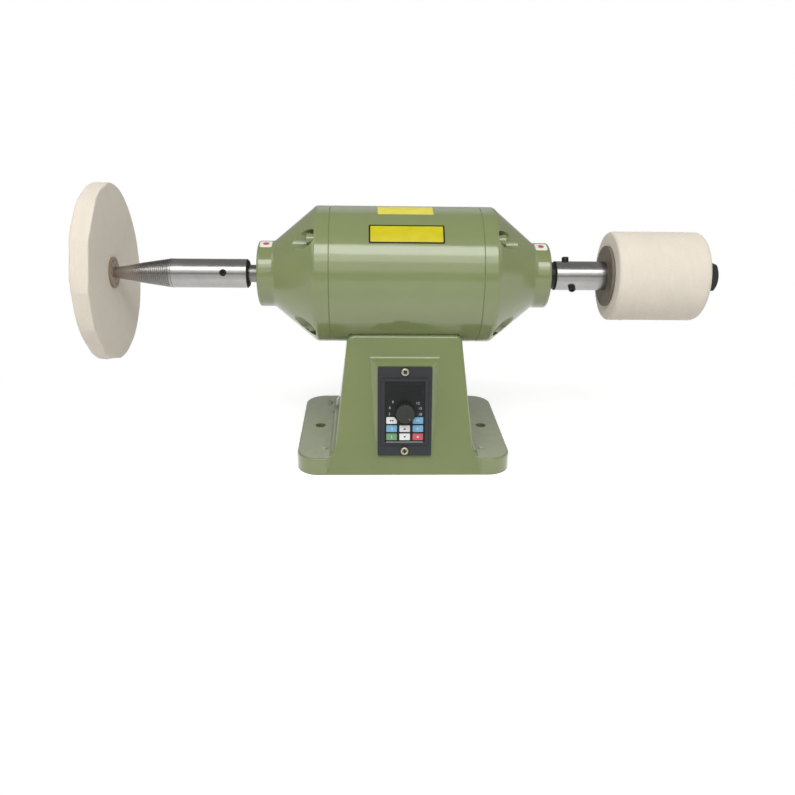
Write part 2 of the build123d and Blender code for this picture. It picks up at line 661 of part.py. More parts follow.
# Motor shell: thick cast tube, tapped at both ends and from below
with BuildPart() as motor_shell:
    with BuildSketch(across(-SEAM_X)):
        Circle(SHELL_R)
        Circle(SHELL_BORE_R, mode=Mode.SUBTRACT)
    extrude(amount=SHELL_LENGTH)
    chamfer(at_ring(motor_shell, -SEAM_X, SHELL_R), SEAM_CHAMFER)
    chamfer(at_ring(motor_shell, SEAM_X, SHELL_R), SEAM_CHAMFER)
    for end in (-1, 1):
        with BuildSketch(across(end * SEAM_X)):
            with PolarLocations(BOLT_R, BELL_BOLT_COUNT, 180 / BELL_BOLT_COUNT):
                Circle((BELL_BOLT_SIZE + PRESS_GAP) / 2)
        extrude(amount=-end * (BELL_BOLT_REACH + PRESS_GAP), mode=Mode.SUBTRACT)
    saddle_bolt_drop = sqrt(SHELL_R**2 - (SADDLE_BOLT_SPAN_Y / 2) ** 2)
    with BuildSketch(Plane.XY.offset(AXIS_HEIGHT - SHELL_R)):
        with GridLocations(SADDLE_BOLT_SPAN_X, SADDLE_BOLT_SPAN_Y, 2, 2):
            Circle((SADDLE_BOLT_SIZE + PRESS_GAP) / 2)
    extrude(amount=SHELL_R - saddle_bolt_drop + SADDLE_BOLT_REACH + PRESS_GAP, mode=Mode.SUBTRACT)
    with BuildSketch(Plane.XY.offset(AXIS_HEIGHT - SHELL_R)):
        with Locations((LEAD_PLACE, 0)):
            Circle(LEAD_HOLE_DIAMETER / 2)
    extrude(amount=SHELL_R, mode=Mode.SUBTRACT)
save(motor_shell, "motor_shell")

# End bells: spigot, rim, hollow cone, bearing seat, web and seal bore
POCKET_FLOOR_R = BOLT_R - POCKET_R
HOLLOW_R = POCKET_FLOOR_R - BELL_WALL
HUB_X = SEAT_X - BEARING_WIDTH - PRELOAD_SPACE - BELL_WALL
HUB_R = BEARING_R + BELL_WALL
SEAL_R = SEAL_DIAMETER / 2
SEAL_IN_X = BOSS_X - SEAL_RECESS - SEAL_WIDTH
WEB_X = SEAL_IN_X - SEAL_WEB
RELIEF_R = BEARING_R - RING_LAND - SEAL_WEB
BELL_OUTLINE = (
    (SEAM_X, SHELL_R),
    (RIM_X, SHELL_R),
    (CONE_X, BOSS_R),
    (BOSS_X, BOSS_R),
    (BOSS_X, SEAL_R),
    (SEAL_IN_X, SEAL_R),
    (SEAL_IN_X, NECK_R + SEAL_WEB_GAP),
    (WEB_X, NECK_R + SEAL_WEB_GAP),
    (WEB_X, RELIEF_R),
    (SEAT_X, RELIEF_R),
    (SEAT_X, BEARING_R + PRESS_GAP),
    (HUB_X, BEARING_R + PRESS_GAP),
    (HUB_X, HUB_R),
    (RIM_X + BELL_WALL, HOLLOW_R),
    (SEAM_X - SPIGOT_LENGTH, HOLLOW_R),
    (SEAM_X - SPIGOT_LENGTH, SHELL_BORE_R - PRESS_GAP),
    (SEAM_X, SHELL_BORE_R - PRESS_GAP),
)


def end_bell(end):
    """Conical end bell with its bolt pockets; end is -1 at the wheel and 1 at the drum."""
    with BuildPart() as bell:
        with BuildSketch(AXIAL):
            with BuildLine():
                Polyline([(end * x, radius) for x, radius in BELL_OUTLINE], close=True)
            make_face()
        revolve(axis=SPIN)
        fillet(at_ring(bell, end * BOSS_X, BOSS_R), BOSS_ROUNDING)
        fillet(at_ring(bell, end * CONE_X, BOSS_R), BOSS_COVE)
        fillet(at_ring(bell, end * RIM_X, SHELL_R), RIM_ROUNDING)
        chamfer(at_ring(bell, end * SEAM_X, SHELL_R), SEAM_CHAMFER)
        with BuildSketch(across(end * RIM_X)):
            with PolarLocations(BOLT_R, BELL_BOLT_COUNT, 180 / BELL_BOLT_COUNT):
                Circle(POCKET_R)
        extrude(amount=end * CONE_LENGTH, mode=Mode.SUBTRACT)
        with BuildSketch(across(end * SEAM_X)):
            with PolarLocations(BOLT_R, BELL_BOLT_COUNT, 180 / BELL_BOLT_COUNT):
                Circle((BELL_BOLT_SIZE + BOLT_GAP) / 2)
        extrude(amount=end * RIM_WIDTH, mode=Mode.SUBTRACT)
    return bell


save(end_bell(-1), "left_end_bell")
save(end_bell(1), "right_end_bell")

with BuildPart() as end_bell_bolts:
    for end in (-1, 1):
        with BuildSketch(across(end * (SEAM_X - BELL_BOLT_REACH))):
            with PolarLocations(BOLT_R, BELL_BOLT_COUNT, 180 / BELL_BOLT_COUNT):
                Circle(BELL_BOLT_SIZE / 2)
        extrude(amount=end * (BELL_BOLT_REACH + RIM_WIDTH))
        with BuildSketch(across(end * RIM_X)):
            with PolarLocations(BOLT_R, BELL_BOLT_COUNT, 180 / BELL_BOLT_COUNT):
                Circle(BELL_BOLT_HEAD / 2)
        extrude(amount=end * BELL_BOLT_HEAD_HEIGHT)
        with BuildSketch(across(end * (RIM_X + BELL_BOLT_HEAD_HEIGHT))):
            with PolarLocations(BOLT_R, BELL_BOLT_COUNT, 180 / BELL_BOLT_COUNT):
                RegularPolygon(BELL_BOLT_SOCKET / 2, 6, major_radius=False)
        extrude(amount=-end * BELL_BOLT_SOCKET_DEPTH, mode=Mode.SUBTRACT)
save(end_bell_bolts, "end_bell_bolts")

with BuildPart() as saddle_bolts:
    bolt_top = AXIS_HEIGHT - saddle_bolt_drop + SADDLE_BOLT_REACH
    with BuildSketch(Plane.XY.offset(CAVITY_TOP)):
        with GridLocations(SADDLE_BOLT_SPAN_X, SADDLE_BOLT_SPAN_Y, 2, 2):
            Circle(SADDLE_BOLT_SIZE / 2)
    extrude(amount=bolt_top - CAVITY_TOP)
    with BuildSketch(Plane.XY.offset(CAVITY_TOP)):
        with GridLocations(SADDLE_BOLT_SPAN_X, SADDLE_BOLT_SPAN_Y, 2, 2):
            RegularPolygon(SADDLE_BOLT_FLATS / 2, 6, major_radius=False)
    extrude(amount=-SADDLE_BOLT_HEAD_HEIGHT)
save(saddle_bolts, "saddle_bolts")

# Stator: slotted core with one winding that fills the slots and loops over at both ends
with BuildPart() as stator_core:
    with BuildSketch(across(-STACK_X)):
        Circle(SHELL_BORE_R - PRESS_GAP)
        Circle(STATOR_R, mode=Mode.SUBTRACT)
        with PolarLocations(STATOR_R + (SLOT_DEPTH - SLOT_MOUTH) / 2, SLOT_COUNT):
            Rectangle(SLOT_DEPTH + SLOT_MOUTH, SLOT_WIDTH, mode=Mode.SUBTRACT)
    extrude(amount=STACK_LENGTH)
save(stator_core, "stator_core")

with BuildPart() as stator_winding:
    winding_r = STATOR_R + SLOT_LINER + SLOT_DEPTH / 2
    with BuildSketch(across(-STACK_X - WINDING_OVERHANG / 2)):
        with PolarLocations(winding_r, SLOT_COUNT):
            Rectangle(SLOT_DEPTH - 4 * SLOT_LINER, SLOT_WIDTH - 2 * SLOT_LINER)
    extrude(amount=STACK_LENGTH + WINDING_OVERHANG)
    for end in (-1, 1):
        with BuildSketch(AXIAL):
            with Locations((end * (STACK_X + SLOT_LINER + WINDING_OVERHANG / 2), winding_r)):
                Rectangle(WINDING_OVERHANG, WINDING_BUILD)
        revolve(axis=SPIN)
save(stator_winding, "stator_winding")

# Rotor: laminated core with cast end rings whose blades stir the air inside
CORE_R = SHAFT_CORE_DIAMETER / 2
END_RING_R = CORE_R + END_RING_ROOM
END_RING_BUILD = ROTOR_R - END_RING_INSET - END_RING_R
save(
    turned(
        (
            (-STACK_X, CORE_R + PRESS_GAP),
            (-STACK_X, ROTOR_R),
            (STACK_X, ROTOR_R),
            (STACK_X, CORE_R + PRESS_GAP),
        )
    ),
    "rotor_core",
)

with BuildPart() as rotor_end_rings:
    for end in (-1, 1):
        with BuildSketch(across(end * STACK_X)):
            Circle(END_RING_R + END_RING_BUILD)
            Circle(END_RING_R, mode=Mode.SUBTRACT)
        extrude(amount=end * END_RING_WIDTH)
        with BuildSketch(across(end * (STACK_X + END_RING_WIDTH))):
            with PolarLocations(END_RING_R + END_RING_BUILD / 2, FAN_BLADE_COUNT):
                Rectangle(END_RING_BUILD - FAN_BLADE_THICKNESS, FAN_BLADE_THICKNESS)
        extrude(amount=end * FAN_BLADE_LENGTH)
save(rotor_end_rings, "rotor_end_rings")

LEFT_SHOULDER = LEFT_BEARING_X + BEARING_WIDTH / 2
RIGHT_SHOULDER = RIGHT_BEARING_X - BEARING_WIDTH / 2
LEFT_SHAFT_END = -(SPINDLE_FACE + SHAFT_GRIP - SHAFT_END_ROOM)
RIGHT_SHAFT_END = ARBOR_FACE + SHAFT_GRIP - SHAFT_END_ROOM
save(
    turned(
        (
            (LEFT_SHAFT_END, 0),
            (LEFT_SHAFT_END, END_R),
            (-SPINDLE_FACE, END_R),
            (-SPINDLE_FACE, NECK_R),
            (LEFT_SHOULDER, NECK_R),
            (LEFT_SHOULDER, CORE_R),
            (RIGHT_SHOULDER, CORE_R),
            (RIGHT_SHOULDER, NECK_R),
            (ARBOR_FACE, NECK_R),
            (ARBOR_FACE, END_R),
            (RIGHT_SHAFT_END, END_R),
            (RIGHT_SHAFT_END, 0),
        )
    ),
    "motor_shaft",
)


# Ball bearings: grooved rings, balls and a pierced cage
def bearing_ring(x, inner_r, outer_r):
    """Bearing ring at x between two radii, grooved where the balls run."""
    with BuildPart() as ring:
        with BuildSketch(AXIAL):
            with Locations((x, (inner_r + outer_r) / 2)):
                Rectangle(BEARING_WIDTH, outer_r - inner_r)
            with Locations((x, PITCH_R)):
                Circle(BALL_R + BALL_GAP, mode=Mode.SUBTRACT)
        revolve(axis=SPIN)
    return ring


def bearing_balls(x):
    """The balls of a bearing at x, on its pitch circle."""
    with BuildPart(across(x)) as balls:
        with PolarLocations(PITCH_R, BALL_COUNT, 180 / BALL_COUNT):
            Sphere(BALL_R)
    return balls


def bearing_cage(x):
    """Cage of a bearing at x, with a pocket drilled inwards for each ball."""
    with BuildPart() as cage:
        with BuildSketch(AXIAL):
            with Locations((x, PITCH_R)):
                Rectangle(CAGE_WIDTH, CAGE_THICKNESS)
        revolve(axis=SPIN)
        for number in range(BALL_COUNT):
            with BuildSketch(radial(x, (number + 0.5) * 360 / BALL_COUNT)):
                Circle(BALL_R + CAGE_POCKET_GAP)
            extrude(amount=BEARING_R, mode=Mode.SUBTRACT)
    return cage


INNER_LAND_R = PITCH_R - RING_LAND
OUTER_LAND_R = PITCH_R + RING_LAND
for bearing, bearing_x in (("left", LEFT_BEARING_X), ("right", RIGHT_BEARING_X)):
    outer_ring = bearing_ring(bearing_x, OUTER_LAND_R, BEARING_R)
    save(outer_ring, f"{bearing}_bearing_outer_ring")
    inner_ring = bearing_ring(bearing_x, NECK_R + PRESS_GAP, INNER_LAND_R)
    save(inner_ring, f"{bearing}_bearing_inner_ring")
    save(bearing_balls(bearing_x), f"{bearing}_bearing_balls")
    save(bearing_cage(bearing_x), f"{bearing}_bearing_cage")

# Dished spring washer that loads the left bearing against the shaft's shoulder
PRELOAD_IN_X = LEFT_BEARING_X - BEARING_WIDTH / 2
save(
    turned(
        (
            (PRELOAD_IN_X, BEARING_R - PRESS_GAP),
            (PRELOAD_IN_X - PRELOAD_SHEET, BEARING_R - PRESS_GAP),
            (-SEAT_X, RELIEF_R),
            (-SEAT_X + PRELOAD_SHEET, RELIEF_R),
        )
    ),
    "preload_spring",
)

with BuildPart() as shaft_seals:
    for end in (-1, 1):
        with BuildSketch(across(end * SEAL_IN_X)):
            Circle(SEAL_R - PRESS_GAP)
            Circle(NECK_R + RUNNING_GAP, mode=Mode.SUBTRACT)
        extrude(amount=end * SEAL_WIDTH)
save(shaft_seals, "shaft_seals")

# Tapered spindle, bored to fit over the shaft's end
TAPER = (THREAD_ROOT_R - SPINDLE_TIP_R) / (SPINDLE_TIP - TAPER_START)
SPINDLE_BORE_END = SPINDLE_FACE + SHAFT_GRIP
DRILL_POINT = END_BORE_R / tan(radians(DRILL_ANGLE / 2))
SPINDLE_SCREWS = tuple((-SPINDLE_FACE - SPINDLE_SCREW_PLACE, angle) for angle in SPINDLE_SCREW_ANGLES)


def taper_radius(x):
    """Radius of the tapered screw, at the root of its thread, at distance x left of the origin."""
    return SPINDLE_TIP_R + (SPINDLE_TIP - x) * TAPER


def set_screws(places, inner_r, outer_r):
    """Set screws at pairs of x and angle, from the shaft out to a radius, with hex sockets."""
    with BuildPart() as screws:
        for x, angle in places:
            with BuildSketch(radial(x, angle).offset(inner_r)):
                Circle(SET_SCREW_SIZE / 2)
            extrude(amount=outer_r - SET_SCREW_CHAMFER - inner_r)
            with BuildSketch(radial(x, angle).offset(outer_r - SET_SCREW_CHAMFER)):
                Circle(SET_SCREW_SIZE / 2)
            extrude(amount=SET_SCREW_CHAMFER, taper=45)
            with BuildSketch(radial(x, angle).offset(outer_r)):
                RegularPolygon(SET_SCREW_SOCKET / 2, 6, major_radius=False)
            extrude(amount=-SET_SCREW_SOCKET_DEPTH, mode=Mode.SUBTRACT)
    return screws


with BuildPart() as tapered_spindle:
    with BuildSketch(AXIAL):
        with BuildLine():
            Polyline(
                (-SPINDLE_FACE, END_BORE_R),
                (-SPINDLE_FACE, SPINDLE_R - SPINDLE_CHAMFER),
                (-SPINDLE_FACE - SPINDLE_CHAMFER, SPINDLE_R),
                (-TAPER_START, SPINDLE_R),
                (-TAPER_START, THREAD_ROOT_R),
                (-SPINDLE_TIP, SPINDLE_TIP_R),
                (-SPINDLE_TIP, 0),
                (-SPINDLE_BORE_END - DRILL_POINT, 0),
                (-SPINDLE_BORE_END, END_BORE_R),
                close=True,
            )
        make_face()
    revolve(axis=SPIN)
    for screw_x, screw_angle in SPINDLE_SCREWS:
        with BuildSketch(radial(screw_x, screw_angle)):
            Circle((SET_SCREW_SIZE + PRESS_GAP) / 2)
        extrude(amount=SPINDLE_DIAMETER, mode=Mode.SUBTRACT)
save(tapered_spindle, "tapered_spindle")
save(set_screws(SPINDLE_SCREWS, END_BORE_R, SPINDLE_R - SPINDLE_SCREW_DEPTH), "spindle_set_screws")

# Felt wheel, screwed up the taper and dished by it, with a leather washer on each face
WHEEL_BACK = SPINDLE_TIP - WHEEL_TIP_STAND
WHEEL_FACE = WHEEL_BACK - WHEEL_THICKNESS
WHEEL_SEAT = WHEEL_FACE + WHEEL_DISH
felt_wheel = turned(
    (
        (-WHEEL_SEAT, taper_radius(WHEEL_SEAT) + SOFT_GAP),
        (-WHEEL_SEAT, WHEEL_WASHER_DIAMETER / 2),
        (-WHEEL_FACE, WHEEL_DISH_DIAMETER / 2),
        (-WHEEL_FACE, WHEEL_DIAMETER / 2),
        (-WHEEL_BACK, WHEEL_DIAMETER / 2),
        (-WHEEL_BACK, taper_radius(WHEEL_BACK) + SOFT_GAP),
    )
)
with felt_wheel:
    fillet(at_ring(felt_wheel, -WHEEL_FACE, WHEEL_DIAMETER / 2), WHEEL_ROUNDING)
    fillet(at_ring(felt_wheel, -WHEEL_BACK, WHEEL_DIAMETER / 2), WHEEL_ROUNDING)
save(felt_wheel, "felt_wheel")

with BuildPart() as wheel_washers:
    for near, far in (
        (WHEEL_SEAT - WHEEL_WASHER_THICKNESS, WHEEL_SEAT),
        (WHEEL_BACK, WHEEL_BACK + WHEEL_WASHER_THICKNESS),
    ):
        with BuildSketch(AXIAL):
            with BuildLine():
                Polyline(
                    (-near, taper_radius(near) + SOFT_GAP),
                    (-near, WHEEL_WASHER_DIAMETER / 2),
                    (-far, WHEEL_WASHER_DIAMETER / 2),
                    (-far, taper_radius(far) + SOFT_GAP),
                    close=True,
                )
            make_face()
        revolve(axis=SPIN)
save(wheel_washers, "wheel_washers")

# Drum arbor: barrel bored to fit over the shaft's end, then a stud through the drum
with BuildPart() as shaft_collar:
    with BuildSketch(across(COLLAR_X)):
        Circle(COLLAR_DIAMETER / 2)
        Circle(NECK_R + PRESS_GAP, mode=Mode.SUBTRACT)
    extrude(amount=COLLAR_LENGTH)
save(shaft_collar, "shaft_collar")

ARBOR_BORE_END = ARBOR_FACE + SHAFT_GRIP
ARBOR_SCREWS = tuple(
    (ARBOR_FACE + place, angle) for place, angle in zip(ARBOR_SCREW_PLACES, ARBOR_SCREW_ANGLES)
)
with BuildPart() as drum_arbor:
    with BuildSketch(AXIAL):
        with BuildLine():
            Polyline(
                (ARBOR_FACE, END_BORE_R),
                (ARBOR_FACE, ARBOR_R - ARBOR_CHAMFER),
                (ARBOR_FACE + ARBOR_CHAMFER, ARBOR_R),
                (ARBOR_END, ARBOR_R),
                (ARBOR_END, STUD_R),
                (STUD_END - ARBOR_CHAMFER, STUD_R),
                (STUD_END, STUD_R - ARBOR_CHAMFER),
                (STUD_END, 0),
                (ARBOR_BORE_END + DRILL_POINT, 0),
                (ARBOR_BORE_END, END_BORE_R),
                close=True,
            )
        make_face()
    revolve(axis=SPIN)
    for screw_x, screw_angle in ARBOR_SCREWS:
        with BuildSketch(radial(screw_x, screw_angle)):
            Circle((SET_SCREW_SIZE + PRESS_GAP) / 2)
        extrude(amount=ARBOR_DIAMETER, mode=Mode.SUBTRACT)
save(drum_arbor, "drum_arbor")
save(set_screws(ARBOR_SCREWS, END_BORE_R, ARBOR_R + ARBOR_SCREW_STAND), "arbor_set_screws")


def drum_flange(x):
    """Steel flange that clamps one end of the drum, with its inner face at x."""
    with BuildPart() as flange:
        with BuildSketch(across(x)):
            Circle(DRUM_FLANGE_DIAMETER / 2)
            Circle(STUD_R + PRESS_GAP, mode=Mode.SUBTRACT)
        extrude(amount=DRUM_FLANGE_THICKNESS)
        for side_x in (x, x + DRUM_FLANGE_THICKNESS):
            fillet(at_ring(flange, side_x, DRUM_FLANGE_DIAMETER / 2), DRUM_FLANGE_ROUNDING)
    return flange


save(drum_flange(ARBOR_END), "inner_flange")
save(drum_flange(DRUM_END), "outer_flange")

with BuildPart() as felt_drum:
    with BuildSketch(across(DRUM_X)):
        Circle(DRUM_DIAMETER / 2)
        Circle(STUD_R + SOFT_GAP, mode=Mode.SUBTRACT)
    extrude(amount=DRUM_LENGTH)
    fillet(at_ring(felt_drum, DRUM_X, DRUM_DIAMETER / 2), DRUM_ROUNDING)
    fillet(at_ring(felt_drum, DRUM_END, DRUM_DIAMETER / 2), DRUM_ROUNDING)
save(felt_drum, "felt_drum")

with BuildPart() as lock_washer:
    with BuildSketch(across(LOCK_WASHER_X)):
        Circle(LOCK_WASHER_DIAMETER / 2)
        Circle(STUD_R + PRESS_GAP, mode=Mode.SUBTRACT)
        with Locations((0, LOCK_WASHER_DIAMETER / 2)):
            Rectangle(
                LOCK_WASHER_SPLIT,
                LOCK_WASHER_DIAMETER,
                rotation=LOCK_WASHER_SLANT,
                mode=Mode.SUBTRACT,
            )
    extrude(amount=LOCK_WASHER_THICKNESS)
save(lock_washer, "lock_washer")

with BuildPart() as arbor_nut:
    with BuildSketch(across(NUT_X)):
        RegularPolygon(NUT_FLATS / 2, 6, major_radius=False)
        Circle(STUD_R + PRESS_GAP, mode=Mode.SUBTRACT)
    extrude(amount=NUT_HEIGHT)
    # Both ends are turned down to a cone at the corners
    with BuildSketch(AXIAL):
        with BuildLine():
            Polyline(
                (NUT_X, 0),
                (NUT_X, NUT_FLATS / 2),
                (NUT_X + NUT_CHAMFER, NUT_FLATS / 2 + 2 * NUT_CHAMFER),
                (NUT_X + NUT_HEIGHT - NUT_CHAMFER, NUT_FLATS / 2 + 2 * NUT_CHAMFER),
                (NUT_X + NUT_HEIGHT, NUT_FLATS / 2),
                (NUT_X + NUT_HEIGHT, 0),
                close=True,
            )
        make_face()
    revolve(axis=SPIN, mode=Mode.INTERSECT)
save(arbor_nut, "arbor_nut")

# Motor lead, held in a grommet under the deck and led forward into the control housing
LEAD_TOP = AXIS_HEIGHT - winding_r - WINDING_BUILD / 2 - SLOT_LINER
LEAD_END = PANEL.from_local_coords((HOUSING_WIDTH / 2, 0, -LEAD_ENTRY_DEPTH))
with BuildPart() as lead_grommet:
    with BuildSketch(Plane.XY.offset(CAVITY_TOP - GROMMET_LIP)):
        with Locations((LEAD_PLACE, 0)):
            Circle(GROMMET_FLANGE / 2)
    extrude(amount=GROMMET_LIP)
    with BuildSketch(Plane.XY.offset(CAVITY_TOP)):
        with Locations((LEAD_PLACE, 0)):
            Circle(LEAD_HOLE_DIAMETER / 2 - PRESS_GAP)
    extrude(amount=DECK_THICKNESS)
    with BuildSketch(Plane.XY.offset(CAVITY_TOP - GROMMET_LIP)):
        with Locations((LEAD_PLACE, 0)):
            Circle(LEAD_DIAMETER / 2 + PRESS_GAP)
    extrude(amount=GROMMET_LIP + DECK_THICKNESS, mode=Mode.SUBTRACT)
save(lead_grommet, "lead_grommet")

with BuildPart() as motor_lead:
    with BuildLine() as lead_route:
        FilletPolyline(
            (LEAD_PLACE, 0, LEAD_TOP),
            (LEAD_PLACE, 0, LEAD_END.Z),
            (LEAD_PLACE, LEAD_END.Y, LEAD_END.Z),
            (LEAD_END.X, LEAD_END.Y, LEAD_END.Z),
            radius=LEAD_BENDS,
        )
    with BuildSketch(Plane(origin=lead_route.line @ 0, z_dir=lead_route.line % 0)):
        Circle(LEAD_DIAMETER / 2)
    sweep()
save(motor_lead, "motor_lead")

# Cable gland at the back: body through the wall, cap and lock nut, with one straight bore
with BuildPart() as cable_gland:
    with BuildSketch(BACKWARDS.offset(GLAND_WALL_Y - GLAND_INSIDE)):
        Circle(GLAND_THREAD / 2)
    extrude(amount=GLAND_SEAT_Y - GLAND_WALL_Y + GLAND_INSIDE)
    with BuildSketch(BACKWARDS.offset(GLAND_SEAT_Y)):
        RegularPolygon(GLAND_FLATS / 2, 6, major_radius=False)
    extrude(amount=GLAND_HEX_LENGTH)
    with BuildSketch(BACKWARDS.offset(GLAND_SEAT_Y + GLAND_HEX_LENGTH)):
        Circle(GLAND_NECK_DIAMETER / 2)
    extrude(amount=GLAND_NECK)
    with BuildSketch(BACKWARDS.offset(GLAND_WALL_Y - GLAND_INSIDE)):
        Circle(GLAND_BORE / 2)
    extrude(amount=BASE_DEPTH, mode=Mode.SUBTRACT)
save(cable_gland, "cable_gland")

CAP_Y = GLAND_SEAT_Y + GLAND_HEX_LENGTH
with BuildPart() as gland_cap:
    with BuildSketch(BACKWARDS.offset(CAP_Y)):
        RegularPolygon(GLAND_FLATS / 2, 6, major_radius=False)
    extrude(amount=GLAND_CAP_HEX)
    with BuildSketch(BACKWARDS.offset(CAP_Y)):
        Circle(GLAND_FLATS / 2)
    extrude(amount=GLAND_CAP_LENGTH)
    fillet(gland_cap.edges().group_by(Axis.Y)[-1], GLAND_CAP_ROUNDING)
    with BuildSketch(BACKWARDS.offset(CAP_Y)):
        Circle(GLAND_NECK_DIAMETER / 2 + PRESS_GAP)
    extrude(amount=GLAND_NECK + PRESS_GAP, mode=Mode.SUBTRACT)
    with BuildSketch(BACKWARDS.offset(CAP_Y)):
        Circle(GLAND_BORE / 2)
    extrude(amount=GLAND_CAP_LENGTH, mode=Mode.SUBTRACT)
save(gland_cap, "gland_cap")

with BuildPart() as gland_locknut:
    with BuildSketch(BACKWARDS.offset(GLAND_WALL_Y)):
        RegularPolygon(LOCKNUT_FLATS / 2, 6, major_radius=False)
        Circle(GLAND_THREAD / 2 + PRESS_GAP, mode=Mode.SUBTRACT)
    extrude(amount=-LOCKNUT_HEIGHT)
save(gland_locknut, "gland_locknut")

# Control panel: heights out of the panel plane
FRAME_TOP = PANEL_THICKNESS + FRAME_STAND
KEYPAD_BACK = PANEL_THICKNESS
KEYPAD_FRONT = KEYPAD_BACK + KEYPAD_THICKNESS
KEY_TOP = KEYPAD_FRONT + KEY_STAND
KEY_LIP_TOP = KEYPAD_BACK - SLIDE_GAP
BOARD_FRONT = -BOARD_DEPTH
BOARD_BACK = BOARD_FRONT - BOARD_THICKNESS
SWITCH_TOP = BOARD_FRONT + SWITCH_HEIGHT
KNOB_BACK = KEYPAD_FRONT + KNOB_STAND
KNOB_FRONT = KNOB_BACK + KNOB_HEIGHT
POT_SHAFT_R = POT_SHAFT_DIAMETER / 2
POT_BUSH_R = POT_SHAFT_R + RUNNING_GAP + POT_BUSH_WALL
POT_TOP = KEYPAD_BACK - POT_BUSH_HEIGHT
BOARD_WIDTH = HOUSING_WIDTH - 2 * HOUSING_WALL
BOARD_HEIGHT = HOUSING_HEIGHT - 2 * HOUSING_WALL

with BuildPart() as panel_bezel:
    with BuildSketch(PANEL):
        RectangleRounded(PANEL_WIDTH, PANEL_HEIGHT, PANEL_CORNER)
    extrude(amount=PANEL_THICKNESS)
    with BuildSketch(PANEL.offset(PANEL_THICKNESS)):
        RectangleRounded(FRAME_WIDTH, FRAME_HEIGHT, PANEL_CORNER)
    extrude(amount=FRAME_STAND)
    frame_rim = panel_bezel.faces().sort_by(OUTWARDS)[-1].edges()
    chamfer(frame_rim, FRAME_EDGE)
    with BuildSketch(PANEL.offset(KEYPAD_BACK)):
        Rectangle(KEYPAD_WIDTH + 2 * SLIDE_GAP, KEYPAD_HEIGHT + 2 * SLIDE_GAP)
    extrude(amount=FRAME_STAND, mode=Mode.SUBTRACT)
    with BuildSketch(PANEL):
        Rectangle(KEYPAD_WIDTH - 2 * KEYPAD_LEDGE, KEYPAD_HEIGHT - 2 * KEYPAD_LEDGE)
        with GridLocations(0, PANEL_SCREW_SPAN, 1, 2):
            Circle((PANEL_SCREW_SIZE + BOLT_GAP) / 2)
    extrude(amount=FRAME_TOP, mode=Mode.SUBTRACT)
save(panel_bezel, "panel_bezel")

with BuildPart() as panel_screws:
    with BuildSketch(PANEL.offset(-PANEL_SCREW_REACH)):
        with GridLocations(0, PANEL_SCREW_SPAN, 1, 2):
            Circle(PANEL_SCREW_SIZE / 2)
    extrude(amount=PANEL_SCREW_REACH + PANEL_THICKNESS)
    with BuildSketch(PANEL.offset(PANEL_THICKNESS)):
        with GridLocations(0, PANEL_SCREW_SPAN, 1, 2):
            Circle(PANEL_SCREW_HEAD / 2)
    extrude(amount=PANEL_SCREW_HEAD_HEIGHT)
    fillet(panel_screws.edges().group_by(OUTWARDS)[-1], PANEL_SCREW_CROWN)
save(panel_screws, "panel_screws")

# Keys: name, column from the middle and row from the top
DISPLAY_PLACE = KNOB_R + DISPLAY_GAP + DISPLAY_HEIGHT / 2
KEYS = (
    ("mode_key", -1, 0),
    ("set_key", 1, 0),
    ("back_key", -1, 1),
    ("up_key", 0, 1),
    ("next_key", 1, 1),
    ("run_key", -1, 2),
    ("down_key", 0, 2),
    ("stop_key", 1, 2),
)


def key_place(column_number, row_number):
    """Centre of a key, measured from the knob's centre."""
    return (column_number * KEY_PITCH, -KEY_ROW_DROP - row_number * KEY_ROW_PITCH)


def key_outline(place, growth, mode=Mode.ADD):
    """Face of a key or its hole, grown all round and kept clear of the knob."""
    with BuildSketch(mode=Mode.PRIVATE) as outline:
        with Locations(place):
            RectangleRounded(KEY_WIDTH + 2 * growth, KEY_HEIGHT + 2 * growth, KEY_CORNER)
        Circle(KNOB_R + KEY_KNOB_ROOM - growth, mode=Mode.SUBTRACT)
    add(outline.sketch, mode=mode)


with BuildPart() as keypad_plate:
    with BuildSketch(knob_plane(KEYPAD_BACK)):
        with Locations((0, -KNOB_PLACE)):
            Rectangle(KEYPAD_WIDTH, KEYPAD_HEIGHT)
        Circle(POT_BUSH_R + SLIDE_GAP, mode=Mode.SUBTRACT)
        with Locations((0, DISPLAY_PLACE)):
            Rectangle(DISPLAY_WIDTH, DISPLAY_HEIGHT, mode=Mode.SUBTRACT)
        for key_name, key_column, key_row in KEYS:
            key_outline(key_place(key_column, key_row), SLIDE_GAP, Mode.SUBTRACT)
    extrude(amount=KEYPAD_THICKNESS)
save(keypad_plate, "keypad_plate")

with BuildPart() as display_lens:
    with BuildSketch(knob_plane(KEYPAD_BACK)):
        with Locations((0, DISPLAY_PLACE)):
            Rectangle(DISPLAY_WIDTH - 2 * PRESS_GAP, DISPLAY_HEIGHT - 2 * PRESS_GAP)
    extrude(amount=KEYPAD_THICKNESS)
    with BuildSketch(knob_plane(KEYPAD_BACK)):
        with Locations((0, DISPLAY_PLACE)):
            Rectangle(DISPLAY_WIDTH + 2 * LENS_LIP, DISPLAY_HEIGHT + 2 * LENS_LIP)
    extrude(amount=-LENS_LIP)
save(display_lens, "display_lens")

